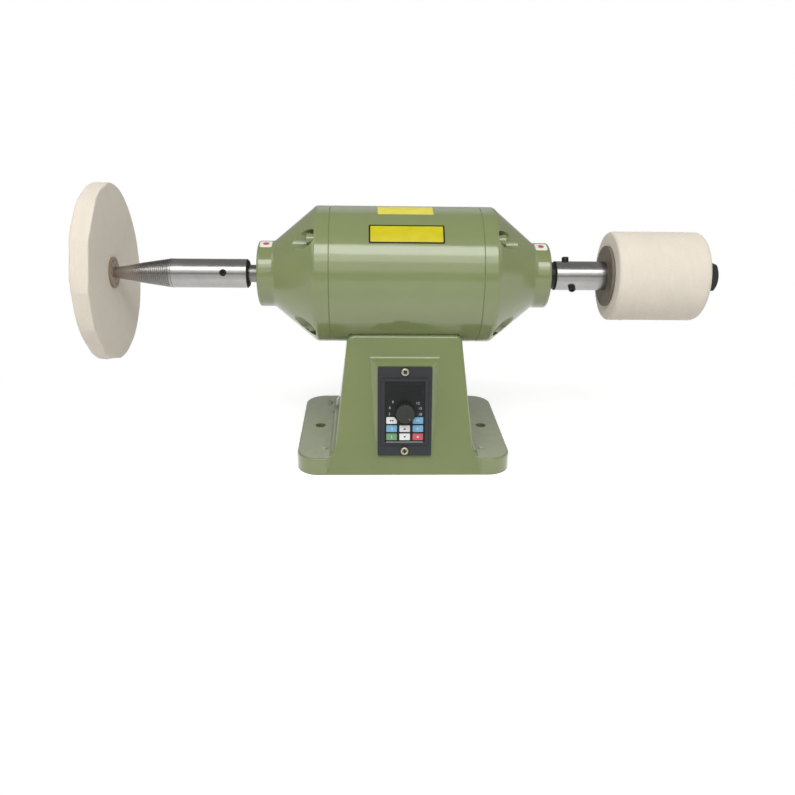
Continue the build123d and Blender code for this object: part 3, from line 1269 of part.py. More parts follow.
for key_name, key_column, key_row in KEYS:
    with BuildPart() as key:
        with BuildSketch(knob_plane(KEY_LIP_TOP)):
            key_outline(key_place(key_column, key_row), 0)
        extrude(amount=KEY_TOP - KEY_LIP_TOP)
        with BuildSketch(knob_plane(KEY_LIP_TOP)):
            key_outline(key_place(key_column, key_row), KEY_LIP)
        extrude(amount=-KEY_LIP_THICKNESS)
        with BuildSketch(knob_plane(KEY_LIP_TOP)):
            with Locations(key_place(key_column, key_row)):
                Circle(KEY_STEM_DIAMETER / 2)
        extrude(amount=-(KEY_LIP_TOP - SWITCH_TOP - KEY_TRAVEL - SLIDE_GAP))
    save(key, key_name)

with BuildPart() as key_switches:
    for key_name, key_column, key_row in KEYS:
        with BuildSketch(knob_plane(BOARD_FRONT)):
            with Locations(key_place(key_column, key_row)):
                Rectangle(SWITCH_SIDE, SWITCH_SIDE)
        extrude(amount=SWITCH_BODY_HEIGHT)
        with BuildSketch(knob_plane(BOARD_FRONT)):
            with Locations(key_place(key_column, key_row)):
                Circle(SWITCH_BUTTON_DIAMETER / 2)
        extrude(amount=SWITCH_HEIGHT)
save(key_switches, "key_switches")

with BuildPart() as control_board:
    with BuildSketch(PANEL.offset(BOARD_BACK)):
        Rectangle(BOARD_WIDTH - 2 * SLIDE_GAP, BOARD_HEIGHT - 2 * SLIDE_GAP)
    extrude(amount=BOARD_THICKNESS)
save(control_board, "control_board")

with BuildPart() as display_module:
    with BuildSketch(knob_plane(BOARD_FRONT)):
        with Locations((0, DISPLAY_PLACE)):
            Rectangle(DISPLAY_WIDTH, DISPLAY_HEIGHT)
    extrude(amount=KEYPAD_BACK - LENS_LIP - SLIDE_GAP - BOARD_FRONT)
save(display_module, "display_module")

with BuildPart() as potentiometer:
    with BuildSketch(knob_plane(BOARD_FRONT)):
        Circle(POT_DIAMETER / 2)
    extrude(amount=POT_TOP - BOARD_FRONT)
    with BuildSketch(knob_plane(POT_TOP)):
        Circle(POT_BUSH_R)
    extrude(amount=KEYPAD_FRONT - POT_TOP)
    with BuildSketch(knob_plane(POT_TOP)):
        Circle(POT_SHAFT_R + RUNNING_GAP)
    extrude(amount=KEYPAD_FRONT - POT_TOP, mode=Mode.SUBTRACT)
save(potentiometer, "potentiometer")

with BuildPart() as knob_shaft:
    with BuildSketch(knob_plane(POT_TOP + SLIDE_GAP)):
        Circle(POT_SHAFT_R)
    extrude(amount=KNOB_FRONT - KNOB_CAP - POT_TOP - SLIDE_GAP)
save(knob_shaft, "knob_shaft")

with BuildPart() as speed_knob:
    with BuildSketch(knob_plane(KNOB_BACK)):
        Circle(KNOB_R)
    with BuildSketch(knob_plane(KNOB_FRONT)):
        Circle(KNOB_CROWN / 2)
    loft()
    fillet(speed_knob.edges().group_by(OUTWARDS)[-1], KNOB_EDGE)
    with BuildSketch(knob_plane(KNOB_BACK)):
        with PolarLocations(KNOB_R, KNOB_FLUTES):
            Circle(KNOB_FLUTE_DIAMETER / 2)
    extrude(amount=KNOB_HEIGHT, mode=Mode.SUBTRACT)
    with BuildSketch(knob_plane(KNOB_BACK)):
        Circle(POT_SHAFT_R + PRESS_GAP)
    extrude(amount=KNOB_HEIGHT - KNOB_CAP, mode=Mode.SUBTRACT)
save(speed_knob, "speed_knob")

with BuildPart() as control_housing:
    with BuildSketch(PANEL):
        RectangleRounded(HOUSING_WIDTH, HOUSING_HEIGHT, PANEL_CORNER)
    extrude(amount=-HOUSING_DEPTH)
    with BuildSketch(PANEL):
        Rectangle(BOARD_WIDTH, BOARD_HEIGHT)
    extrude(amount=BOARD_BACK, mode=Mode.SUBTRACT)
    with BuildSketch(PANEL):
        Rectangle(BOARD_WIDTH - 2 * HOUSING_LEDGE, BOARD_HEIGHT - 2 * HOUSING_LEDGE)
    extrude(amount=-HOUSING_DEPTH + HOUSING_WALL, mode=Mode.SUBTRACT)
save(control_housing, "control_housing")

with BuildPart() as heat_sink:
    with BuildSketch(PANEL.offset(-HOUSING_DEPTH)):
        Rectangle(HOUSING_WIDTH - 2 * HOUSING_WALL, HOUSING_HEIGHT - 2 * HOUSING_WALL)
    extrude(amount=-SINK_PLATE)
    fin_pitch = (HOUSING_WIDTH - 2 * HOUSING_WALL - SINK_FIN_THICKNESS) / (SINK_FIN_COUNT - 1)
    with BuildSketch(PANEL.offset(-HOUSING_DEPTH)):
        with GridLocations(fin_pitch, 0, SINK_FIN_COUNT, 1):
            Rectangle(SINK_FIN_THICKNESS, HOUSING_HEIGHT - 2 * HOUSING_WALL)
    extrude(amount=-SINK_DEPTH)
save(heat_sink, "heat_sink")
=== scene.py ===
"""Looks of a bench polishing machine: felts, screw thread, screws, prints and finishes."""
import json
from functools import partial
from math import cos, pi, radians, sin

import bmesh
import bpy
import numpy as np
from bpy.props import FloatProperty, FloatVectorProperty, IntProperty, PointerProperty
from mathutils import Matrix, Vector


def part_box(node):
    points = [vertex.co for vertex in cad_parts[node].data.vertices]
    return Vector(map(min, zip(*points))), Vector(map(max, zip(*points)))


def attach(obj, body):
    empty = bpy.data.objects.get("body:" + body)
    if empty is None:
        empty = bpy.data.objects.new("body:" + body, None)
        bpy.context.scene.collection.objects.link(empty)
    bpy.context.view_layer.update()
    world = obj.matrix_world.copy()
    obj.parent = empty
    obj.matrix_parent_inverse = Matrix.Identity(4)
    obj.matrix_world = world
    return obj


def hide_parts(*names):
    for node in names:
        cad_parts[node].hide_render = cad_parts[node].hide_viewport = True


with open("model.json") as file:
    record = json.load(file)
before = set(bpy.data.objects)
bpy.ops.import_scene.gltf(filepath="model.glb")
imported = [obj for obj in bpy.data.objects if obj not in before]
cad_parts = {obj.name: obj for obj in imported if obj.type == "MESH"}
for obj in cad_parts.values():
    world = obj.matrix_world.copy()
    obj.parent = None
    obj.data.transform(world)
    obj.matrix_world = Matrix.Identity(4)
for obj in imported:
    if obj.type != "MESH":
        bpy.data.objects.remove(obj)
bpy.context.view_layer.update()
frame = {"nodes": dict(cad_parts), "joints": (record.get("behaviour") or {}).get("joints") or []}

bl_info = {
    "name": "Bench polisher",
    "version": (1, 0, 0),
    "blender": (4, 5, 0),
    "location": "3D View > Sidebar > Polisher",
    "description": "Felts, thread, screws, prints and finishes of a bench polishing machine",
    "category": "Object",
}

MM = 0.001
SAME_PLACE = 0.01 * MM

# Places that the pieces take from the frame: the spindle axis and the leaning panel
JOINTS = {joint["name"]: joint for joint in frame["joints"]}
AXIS_Z = JOINTS["spindle_spin"]["pos_m"][2]
SHELL_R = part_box("motor_shell")[1].z - AXIS_Z
PANEL_OUT = np.array(JOINTS["knob_turn"]["axis"])
PANEL_RIGHT = np.array((1.0, 0.0, 0.0))
PANEL_UP = np.cross(PANEL_OUT, PANEL_RIGHT)
PANEL_POINT = np.array(JOINTS["knob_turn"]["pos_m"])


def node_points(name):
    """Points of a CAD node's mesh, a row each."""
    mesh = frame["nodes"][name].data
    points = np.empty(3 * len(mesh.vertices), np.float32)
    mesh.vertices.foreach_get("co", points)
    return points.reshape(-1, 3)


def from_axis(name):
    """Place along the spindle axis, and distance from it, of each point of a CAD node."""
    points = node_points(name)
    return points[:, 0], np.hypot(points[:, 1], points[:, 2] - AXIS_Z)


def round_size(name):
    """Both ends along X, and the radius, of a CAD node that is round about the spindle axis."""
    low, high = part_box(name)
    return low.x, high.x, (high.z - low.z) / 2


def panel_reach(name, way):
    """Lowest and highest place of a CAD node along a direction of the panel, from the knob's foot."""
    places = (node_points(name) - PANEL_POINT) @ way
    return float(places.min()), float(places.max())


def key_middle(name):
    """Middle of a key on the panel, to the right of the knob and up from it."""
    low, high = (np.array(corner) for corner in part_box(name))
    middle = (low + high) / 2 - PANEL_POINT
    return np.array((middle @ PANEL_RIGHT, middle @ PANEL_UP))


def taper_shape(depth):
    """Tip and start of the spindle's taper, the barrel's radius, and what gives the thread's root at x.

    The root's radius runs straight from the tip's to the barrel's less the thread's depth.
    """
    tip_x, _, barrel_r = round_size("tapered_spindle")
    x, radius = from_axis("tapered_spindle")
    tip_r = float(radius[np.isclose(x, x.min(), atol=SAME_PLACE)].max())
    start_x = float(x[np.isclose(radius, radius.max(), atol=SAME_PLACE)].min())
    slope = (barrel_r - depth - tip_r) / (start_x - tip_x)
    return tip_x, start_x, barrel_r, lambda place: tip_r + (place - tip_x) * slope


# Levels on the panel, and the radius of the bearing bosses, read over the last stretch of a bell
BEZEL_FACE, KEYPAD_TOP = panel_reach("keypad_plate", PANEL_OUT)
KEY_TOP = panel_reach("up_key", PANEL_OUT)[1]
KNOB_TOP = panel_reach("speed_knob", PANEL_OUT)[1]
BOSS_STRETCH = 10 * MM
BELL_X, BELL_R = from_axis("left_end_bell")
BOSS_R = float(BELL_R[BELL_X < BELL_X.min() + BOSS_STRETCH].max())

# Keys by the colour of their caps, which names their finish and their colour setting
KEYS = {"white": ("mode", "up", "down"), "blue": ("set", "back", "next"), "green": ("run",), "red": ("stop",)}


def linear(code):
    """Linear RGB of an sRGB hex value."""
    value = np.array([int(code[i : i + 2], 16) for i in (0, 2, 4)]) / 255
    return tuple(np.where(value <= 0.04045, value / 12.92, ((value + 0.055) / 1.055) ** 2.4))


def hue(name, code):
    """A colour setting with its default as an sRGB hex value."""
    words = {"name": name, "description": f"Colour of the {name.lower()}"}
    return FloatVectorProperty(**words, subtype="COLOR", size=3, min=0.0, max=1.0, default=linear(code))


def span(name, description, default):
    """A length setting in metres."""
    return FloatProperty(name=name, description=description, default=default, min=0.0, unit="LENGTH")


class PolisherColours(bpy.types.PropertyGroup):
    """Colours of the finishes that show."""

    enamel: hue("Enamel", "7A8555")
    felt: hue("Felt", "DFD6C7")
    leather: hue("Leather washers", "837261")
    bezel: hue("Panel bezel", "2E3032")
    film: hue("Keypad film", "1E201F")
    knob: hue("Speed knob", "2D302D")
    white_key: hue("White keys", "E4E4E2")
    blue_key: hue("Blue keys", "72ABD0")
    green_key: hue("Green key", "6F9A6D")
    red_key: hue("Red key", "C9525D")
    # Top plate: the plate yellow made paler, a painted highlight from the light overhead
    plate: hue("Front plate", "C4B804")
    top_plate: hue("Top plate", "DDD252")
    flange: hue("Drum flanges", "6B6357")


class PolisherFelt(bpy.types.PropertyGroup):
    """Sizes of the two felts."""

    cuts: IntProperty(name="Rim cuts", description="Straight knife cuts round the wheel", default=12, min=5)
    cut_depth: span("Cut depth", "How far the middle of a knife cut lies inside the full rim", 3.4 * MM)
    warp: span("Wheel warp", "How far the near face stands out of true at its rim", 1.3 * MM)
    edge: span("Wheel near edge", "Rounding between the wheel's rim and its near face", 1.6 * MM)
    outer_edge: span("Wheel outer edge", "Rounding between the wheel's rim and its outer face", 4.5 * MM)
    dish: span("Wheel dish", "How far the wheel's near face falls towards its washer", 3.5 * MM)
    dish_r: span("Dish radius", "Radius at which the near face starts to fall", 75 * MM)
    dents: span("Dents", "Height of the soft dents over both felts", 0.3 * MM)
    near_edge: span("Drum near edge", "Rounding of the drum's edge beside the motor", 3.4 * MM)
    far_edge: span("Drum far edge", "Rounding of the drum's outer edge", 7.5 * MM)


class PolisherThread(bpy.types.PropertyGroup):
    """Sizes of the screw thread on the taper."""

    pitch: span("Pitch", "Distance from one turn to the next", 2.3 * MM)
    depth: span("Depth", "Height of the thread's ridge above its root", 0.7 * MM)


class PolisherPrints(bpy.types.PropertyGroup):
    """Sizes of the prints and blank plates."""

    numeral: span("Numeral height", "Height of the numbers round the knob", 3.1 * MM)
    dial: span("Dial radius", "Radius of the circle that the numbers stand on", 17.6 * MM)
    ink: span("Ink", "Height of a printed mark above what it lies on", 0.06 * MM)
    film: span("Plate film", "Height of a blank plate above the metal", 0.18 * MM)
    border: span("Plate border", "Width of the dark line round the front plate", 1.8 * MM)


# Sockets of a Mix node: its factor, the two colours that it mixes, and the two plain numbers
FACTOR, FROM, TO, FROM_NUMBER, TO_NUMBER = 0, 6, 7, 2, 3


def node(tree, kind, inputs=None, **settings):
    """Add a node: settings are its own properties, inputs are constants, or sockets or nodes to link.

    A node among the inputs is linked from its first output that is in use.
    """
    made = tree.nodes.new(f"ShaderNode{kind}")
    for name, value in settings.items():
        setattr(made, name, value)
    for name, value in (inputs or {}).items():
        if isinstance(value, bpy.types.Node):
            value = next(socket for socket in value.outputs if socket.enabled)
        if isinstance(value, bpy.types.NodeSocket):
            tree.links.new(value, made.inputs[name])
        else:
            made.inputs[name].default_value = value
    return made


def begin(name):
    """A new material with an empty tree, what adds a node to it, and the socket of its Object coordinates."""
    material = bpy.data.materials.new(name)
    material.use_nodes = True
    material.node_tree.nodes.clear()
    add = partial(node, material.node_tree)
    return material, add, add("TexCoord").outputs["Object"]


def end(material, inputs):
    """Close a material with its surface shader."""
    shader = node(material.node_tree, "BsdfPrincipled", inputs)
    node(material.node_tree, "OutputMaterial", {"Surface": shader})
    return material


def rgba(colour, share=1.0):
    """Colour for a socket, from linear RGB or an sRGB hex value, darkened or lightened by a share."""
    channels = linear(colour) if isinstance(colour, str) else colour
    return (*(min(1.0, channel * share) for channel in channels), 1.0)


def mottled(add, place, low, high, patch, detail=4.0):
    """A tone that drifts from one colour to another, in patches of a real width."""
    drift = add("TexNoise", {"Vector": place, "Scale": 1 / patch, "Detail": detail})
    return add("Mix", {FACTOR: drift, FROM: low, TO: high}, data_type="RGBA")


def machine_enamel(colours):
    """Gloss enamel on filled cast iron."""
    # Sprayed thick: an even sage green with orange peel about 3 mm wide, a slow ripple of the casting under
    # it, and a little grey on what lies level: partly dust, partly a painted reflection of the pale room
    # above
    material, add, place = begin("machine_enamel")
    speck_width, ripple_width, peel_width = 9 * MM, 28 * MM, 3 * MM
    dark, light = rgba(colours.enamel, 0.92), rgba(colours.enamel, 1.08)
    tone = mottled(add, place, dark, light, patch=45 * MM, detail=3.0)
    # Level tops are mixed towards grey: real dust and a painted sky reflection together
    facing = add("NewGeometry").outputs["Normal"]
    up = add("SeparateXYZ", {"Vector": facing}).outputs["Z"]
    lying = add("MapRange", {"Value": up, "From Min": 0.94, "From Max": 1.0, "To Max": 0.75})
    specks = add("TexNoise", {"Vector": place, "Scale": 1 / speck_width, "Detail": 3.0})
    thick = add("MapRange", {"Value": specks, "To Min": 0.6, "To Max": 1.0})
    dust_and_sky_sheen = add("Math", {0: lying, 1: thick}, operation="MULTIPLY")
    colour = add("Mix", {FACTOR: dust_and_sky_sheen, FROM: tone, TO: rgba("B1B5A3")}, data_type="RGBA")
    ripple = add("TexNoise", {"Vector": place, "Scale": 1 / ripple_width, "Detail": 1.0})
    peel = add("TexNoise", {"Vector": place, "Scale": 1 / peel_width, "Detail": 2.0})
    cast = add("Bump", {"Height": ripple, "Distance": 0.12 * MM})
    skin = add("Bump", {"Height": peel, "Distance": 0.012 * MM, "Normal": cast})
    paint = {"Base Color": colour, "Roughness": 0.4, "IOR": 1.5, "Specular IOR Level": 0.2, "Normal": skin}
    coat = {"Coat Weight": 1.0, "Coat IOR": 1.65, "Coat Roughness": 0.12, "Coat Normal": skin}
    return end(material, paint | coat)


def turned_metal(name, motor_end):
    """Steel turned on a lathe about an axis along X: fine rings that catch the light."""
    # The rings are really a tenth of a millimetre apart and are drawn coarser so that they show; towards
    # the wheel the bare metal turns brown and dull from damp polish, and beside the motor the chamfer is
    # painted near black and made rough: painted shade for the dark reflection that it shows there
    material, add, place = begin(name)
    ring, ring_depth, rough = 0.9 * MM, 0.01 * MM, 0.24
    round_the_axis = 0.02 / ring
    damp_start, damp_full = -264 * MM, -303 * MM
    chamfer_shade_start, chamfer_shade_full = 2.6 * MM, 1.8 * MM
    along = add("Mapping", {"Vector": place, "Scale": (1 / ring, round_the_axis, round_the_axis)})
    rings = add("TexNoise", {"Vector": along, "Scale": 1.0, "Detail": 3.0})
    tone = mottled(add, place, rgba("A6A5A3", 0.82), rgba("A6A5A3", 1.12), patch=14 * MM)
    across = add("SeparateXYZ", {"Vector": place}).outputs["X"]
    wet = {"Value": across, "From Min": damp_start, "From Max": damp_full, "To Max": 0.75}
    damp = add("MapRange", wet)
    stained = add("Mix", {FACTOR: damp, FROM: tone, TO: rgba("ACA09A")}, data_type="RGBA")
    # Within two millimetres of the end beside the motor the tone turns near black: painted shade on the
    # chamfer
    gap = add("Math", {0: across, 1: motor_end}, operation="SUBTRACT")
    away = add("Math", {0: gap}, operation="ABSOLUTE")
    black = {"Value": away, "From Min": chamfer_shade_start, "From Max": chamfer_shade_full, "To Max": 0.9}
    chamfer_shade = add("MapRange", black)
    chamfer_shaded = add("Mix", {FACTOR: chamfer_shade, FROM: stained, TO: rgba("2B2C26")}, data_type="RGBA")
    polish = add("MapRange", {"Value": rings, "To Min": 0.75 * rough, "To Max": 1.25 * rough})
    dulled = add("Math", {0: damp, 1: 0.3, 2: polish}, operation="MULTIPLY_ADD")
    chamfer_roughened = add("Math", {0: chamfer_shade, 1: 0.6, 2: dulled}, operation="MULTIPLY_ADD")
    marks = add("Bump", {"Height": rings, "Distance": ring_depth})
    return end(material, {"Base Color": chamfer_shaded, "Metallic": 1.0, "Roughness": chamfer_roughened, "Normal": marks})


def worked(name, colour, grain, rough, ior=1.5, metal=0.0, gloss=0.5):
    """Plain finish of one material: a tone that drifts in patches, and a fine grit on its surface.

    grain holds the width of the patches, the width of the grit and the grit's depth, in millimetres.
    """
    material, add, place = begin(name)
    patch, grit, depth = (size * MM for size in grain)
    tone = mottled(add, place, rgba(colour, 0.86), rgba(colour, 1.14), patch)
    grains = add("TexNoise", {"Vector": place, "Scale": 1 / grit, "Detail": 3.0})
    skin = add("Bump", {"Height": grains, "Distance": depth})
    shine = {"Metallic": metal, "Roughness": rough, "IOR": ior, "Specular IOR Level": gloss}
    return end(material, {"Base Color": tone, "Normal": skin, **shine})


def wool_felt(colours):
    """Pressed wool felt."""
    # White wool, needled and pressed hard: matt and even, with soft mottling a thumb wide, and
    # tangled fibres that are drawn over a millimetre thick so that they show
    material, add, place = begin("wool_felt")
    fibre_width = 1.8 * MM
    ground = mottled(add, place, rgba(colours.felt, 0.94), rgba(colours.felt, 1.05), patch=18 * MM)
    tangle = {"Scale": 1 / fibre_width, "Detail": 6.0, "Roughness": 0.7, "Distortion": 1.2}
    fibre = add("TexNoise", {"Vector": place, **tangle})
    tufts = add("MapRange", {"Value": fibre, "From Min": 0.3, "From Max": 0.5})
    colour = add("Mix", {FACTOR: tufts, FROM: rgba(colours.felt, 0.91), TO: ground}, data_type="RGBA")
    nap = add("Bump", {"Height": fibre, "Distance": 0.3 * MM, "Strength": 0.5})
    shine = {"Roughness": 0.95, "Specular IOR Level": 0.15, "Sheen Weight": 0.2, "Sheen Roughness": 0.5}
    return end(material, {"Base Color": colour, "Normal": nap, **shine})


def sole_leather(colours):
    """Vegetable-tanned leather, stamped into washers."""
    # Warm brown, blotched with polish, pores about a millimetre apart, and one even tone where it was cut
    material, add, place = begin("sole_leather")
    pore_width, blot_width = 0.9 * MM, 3.5 * MM
    pores = add("TexVoronoi", {"Vector": place, "Scale": 1 / pore_width})
    stain = add("TexNoise", {"Vector": place, "Scale": 1 / blot_width, "Detail": 5.0})
    facing = add("NewGeometry").outputs["Normal"]
    along = add("SeparateXYZ", {"Vector": facing}).outputs["X"]
    flat = add("Math", {0: along}, operation="ABSOLUTE")
    blots = add("MapRange", {"Value": stain, "From Min": 0.35, "From Max": 0.65})
    tones = {FACTOR: blots, FROM: rgba(colours.leather, 0.6), TO: rgba(colours.leather, 1.9)}
    face = add("Mix", tones, data_type="RGBA")
    colour = add("Mix", {FACTOR: flat, FROM: rgba(colours.leather, 1.2), TO: face}, data_type="RGBA")
    hide = add("Bump", {"Height": pores, "Distance": 0.12 * MM})
    return end(material, {"Base Color": colour, "Roughness": 0.62, "IOR": 1.5, "Normal": hide})


def forged_steel(colours, rim_r):
    """Steel flange with its brown mill scale, rubbed at the rim."""
    # Dark scale mottled at 5 mm, a little brighter at the very rim, where it is handled
    material, add, place = begin("scaled_steel")
    scale_width, wear_start, wear_full = 5 * MM, 0.9 * MM, 0.4 * MM
    scale = add("TexNoise", {"Vector": place, "Scale": 1 / scale_width, "Detail": 6.0})
    centred = add("Mapping", {"Vector": place, "Location": (0, 0, -AXIS_Z), "Scale": (0, 1, 1)})
    away = add("VectorMath", {0: centred}, operation="LENGTH")
    rub = {"Value": away, "From Min": rim_r - wear_start, "From Max": rim_r - wear_full, "To Max": 0.15}
    worn = add("MapRange", rub)
    tones = {FACTOR: scale, FROM: rgba(colours.flange, 0.7), TO: rgba(colours.flange, 1.3)}
    tone = add("Mix", tones, data_type="RGBA")
    colour = add("Mix", {FACTOR: worn, FROM: tone, TO: rgba("B7B0A4")}, data_type="RGBA")
    pits = add("Bump", {"Height": scale, "Distance": 0.05 * MM})
    shine = {"Metallic": 0.2, "Roughness": 0.6, "Specular IOR Level": 0.15}
    return end(material, {"Base Color": colour, "Normal": pits, **shine})


def passivated_zinc(top):
    """Zinc plate with a yellow chromate film, as on small machine screws."""
    # Brassy yellow that drifts to olive over a few millimetres, turning dark from half a millimetre under the
    # top of the heads down, in the cross recess and round their lower edge: painted shade with some packed
    # dirt
    material, add, place = begin("yellow_chromate_zinc")
    recess_shade_start, recess_shade_full = 0.5 * MM, 1.1 * MM
    tone = mottled(add, place, rgba("A5A388"), rgba("C8C5AF"), patch=3 * MM, detail=3.0)
    from_panel = add("Mapping", {"Vector": place, "Location": tuple(-PANEL_POINT)})
    out = add("VectorMath", {0: from_panel, 1: tuple(PANEL_OUT)}, operation="DOT_PRODUCT")
    # Darker the lower it lies under the head's top: painted shade in the recess and at the rim, with some
    # dirt
    deep = add("MapRange", {"Value": out, "From Min": top - recess_shade_start, "From Max": top - recess_shade_full})
    recess_shaded = add("Mix", {FACTOR: deep, FROM: tone, TO: rgba("45442F")}, data_type="RGBA")
    return end(material, {"Base Color": recess_shaded, "Metallic": 0.8, "Roughness": 0.36})


def coat_nodes(material, *names):
    """Give CAD nodes a finish."""
    for name in names:
        mesh = frame["nodes"][name].data
        mesh.materials.clear()
        mesh.materials.append(material)


def ripples(angle, length, seed):
    """Smooth unevenness from about -1 to 1: a sum of sine waves with fixed phases.

    Each closes round the angle and repeats along the length.
    """
    count, most_rounds, finest, level = 24, 9, 0.5 * MM, 1.5
    waves = np.random.default_rng(seed).random((count, 3))
    rounds = np.rint(1 + most_rounds * waves[:, 0])
    phase = rounds * angle[..., None] + waves[:, 1] * length[..., None] / finest + 2 * pi * waves[:, 2]
    return np.sin(phase).sum(-1) / count**0.5 / level


def full_turn(count):
    """Angles at even steps all round."""
    return np.arange(count) * 2 * pi / count


def about_spindle(x, radius, angle):
    """Points at x, at a radius from the spindle axis and an angle above the front."""
    x, radius, angle = np.broadcast_arrays(x, radius, angle)
    return np.stack([x, -radius * np.cos(angle), AXIS_Z + radius * np.sin(angle)], -1)


def on_panel(right, up, out):
    """Points on the leaning panel, from the knob's foot: to the right, up the panel and out of it."""
    places = np.stack(np.broadcast_arrays(right, up, out), -1)
    return PANEL_POINT + places @ np.stack([PANEL_RIGHT, PANEL_UP, PANEL_OUT])


def closed_faces(rows, columns, ring):
    """Faces of a grid whose columns close round; its rows close too, or end in a pole at both ends."""
    if ring:
        index = np.arange(rows * columns).reshape(rows, columns)
        low, high = index, np.roll(index, -1, 0)
        fans = np.empty((0, 3), int)
    else:
        index = 1 + np.arange((rows - 2) * columns).reshape(rows - 2, columns)
        low, high = index[:-1], index[1:]
        last = 1 + index.size
        first_fan = [np.zeros(columns, int), np.roll(index[0], -1), index[0]]
        last_fan = [np.full(columns, last), index[-1], np.roll(index[-1], -1)]
        fans = np.concatenate([np.stack(first_fan, -1), np.stack(last_fan, -1)])
    quads = np.stack([low, np.roll(low, -1, 1), np.roll(high, -1, 1), high], -1).reshape(-1, 4)
    return quads, fans


SHARP_ANGLE = radians(40)


def solid_mesh(name, grids, ring=False):
    """One mesh of closed grids of points, each an array of rows, columns and x, y, z, facing outwards.

    Where ring is false the first and last rows of a grid shrink to a point each.
    """
    points, faces, count = [], [], 0
    for grid in grids:
        rows, columns = grid.shape[:2]
        quads, fans = closed_faces(rows, columns, ring)
        flat = grid.reshape(-1, 3)
        if not ring:
            flat = np.concatenate([grid[:1, 0], grid[1:-1].reshape(-1, 3), grid[-1:, 0]])
        corners = np.concatenate([quads[:, :3], quads[:, [0, 2, 3]], fans])
        low, mid, high = (flat[corners[:, i]] - flat.mean(0) for i in range(3))
        if np.einsum("ij,ij->", low, np.cross(mid, high)) < 0:
            quads, fans = quads[:, ::-1], fans[:, ::-1]
        points.append(flat)
        faces += (quads + count).tolist() + (fans + count).tolist()
        count += len(flat)
    mesh = bpy.data.meshes.new(name)
    mesh.from_pydata(np.concatenate(points), [], faces)
    mesh.shade_smooth()
    mesh.set_sharp_from_angle(angle=SHARP_ANGLE)
    return mesh


def piece(name, mesh, body, material, replaced=()):
    """Put a finished mesh on a body and finish, in place of CAD nodes that it stands for."""
    mesh.materials.append(material)
    made = bpy.data.objects.new(name, mesh)
    bpy.context.scene.collection.objects.link(made)
    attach(made, body)
    if replaced:
        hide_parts(*replaced)


def rounded_outline(width, height, corner, count=160):
    """Rounded rectangle about its centre: four corner arcs and the straight sides, at even steps."""
    arc_points = 144
    turn = full_turn(arc_points) + pi / arc_points
    outwards = np.stack([np.cos(turn), np.sin(turn)], -1)
    rim = np.sign(outwards) * (np.array((width, height)) / 2 - corner) + corner * outwards
    rim = np.concatenate([rim, rim[:1]])
    way = np.concatenate([[0], np.cumsum(np.linalg.norm(np.diff(rim, axis=0), axis=1))])
    even = np.linspace(0, way[-1], count, endpoint=False)
    return np.stack([np.interp(even, way, rim[:, 0]), np.interp(even, way, rim[:, 1])], -1)


def round_outline(radius, count=48):
    """Circle about its centre."""
    turn = full_turn(count)
    return radius * np.stack([np.cos(turn), np.sin(turn)], -1)


def pad(outline, low, high, rings=1):
    """Rows of a pad: the outline shrunk towards its centre in rings, on a lower and an upper level.

    They come as two lengths along the surface that it lies on, and the level.
    """
    share = np.linspace(0, 1, rings + 1)
    flat = np.concatenate([share, share[::-1]])[:, None, None] * outline
    return flat[..., 0], flat[..., 1], np.repeat([low, high], rings + 1)[:, None]


def mark(words, height, ink):
    """Closed mesh of a short printed number, centred, as thick as the ink on both sides of its XY plane."""
    size_to_height = 1.4
    curve = bpy.data.curves.new("numeral", "FONT")
    curve.body = words
    curve.size = height * size_to_height
    curve.extrude = ink
    curve.align_x = "CENTER"
    curve.align_y = "CENTER"
    made = bpy.data.objects.new("numeral", curve)
    bpy.context.scene.collection.objects.link(made)
    bpy.context.view_layer.update()
    mesh = bpy.data.meshes.new_from_object(made.evaluated_get(bpy.context.evaluated_depsgraph_get()))
    bpy.data.objects.remove(made)
    solid = bmesh.new()
    solid.from_mesh(mesh)
    bmesh.ops.remove_doubles(solid, verts=solid.verts, dist=0.1 * SAME_PLACE)
    bmesh.ops.recalc_face_normals(solid, faces=solid.faces)
    solid.to_mesh(mesh)
    solid.free()
    return mesh


class POLISHER_OT_castings(bpy.types.Operator):
    """Enamel on the pedestal, the motor housing and the bolts that were painted with it"""

    bl_idname = "polisher.castings"
    bl_label = "Castings"

    def execute(self, context):
        enamel = machine_enamel(context.scene.polisher_colours)
        coat_nodes(enamel, "pedestal", "motor_shell", "left_end_bell", "right_end_bell", "end_bell_bolts")
        return {"FINISHED"}


class POLISHER_OT_shaft_parts(bpy.types.Operator):
    """Finishes of the shaft, the spindle, the arbor and what clamps on them"""

    bl_idname = "polisher.shaft_parts"
    bl_label = "Shaft parts"

    def execute(self, context):
        colours = context.scene.polisher_colours
        spindle_end, arbor_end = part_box("tapered_spindle")[1].x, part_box("drum_arbor")[0].x
        for name, motor_end in (("tapered_spindle", spindle_end), ("drum_arbor", arbor_end)):
            coat_nodes(turned_metal(f"turned_steel_{name}", motor_end), name)
        # Ground shaft steel under a film of old oil
        oiled = worked("oiled_steel", "7F7E79", grain=(7, 0.5, 0.006), rough=0.34, metal=1.0)
        coat_nodes(oiled, "motor_shaft", "knob_shaft")
        # Blackened in hot salts: a thin dark oxide that still shines a little
        black = worked("black_oxide_steel", "29292A", grain=(6, 0.5, 0.01), rough=0.42, metal=0.6)
        coat_nodes(black, "spindle_set_screws", "arbor_set_screws", "saddle_bolts")
        coat_nodes(black, "arbor_nut", "lock_washer", "shaft_collar")
        flange_r = round_size("inner_flange")[2]
        coat_nodes(forged_steel(colours, flange_r), "inner_flange", "outer_flange")
        coat_nodes(sole_leather(colours), "wheel_washers")
        return {"FINISHED"}


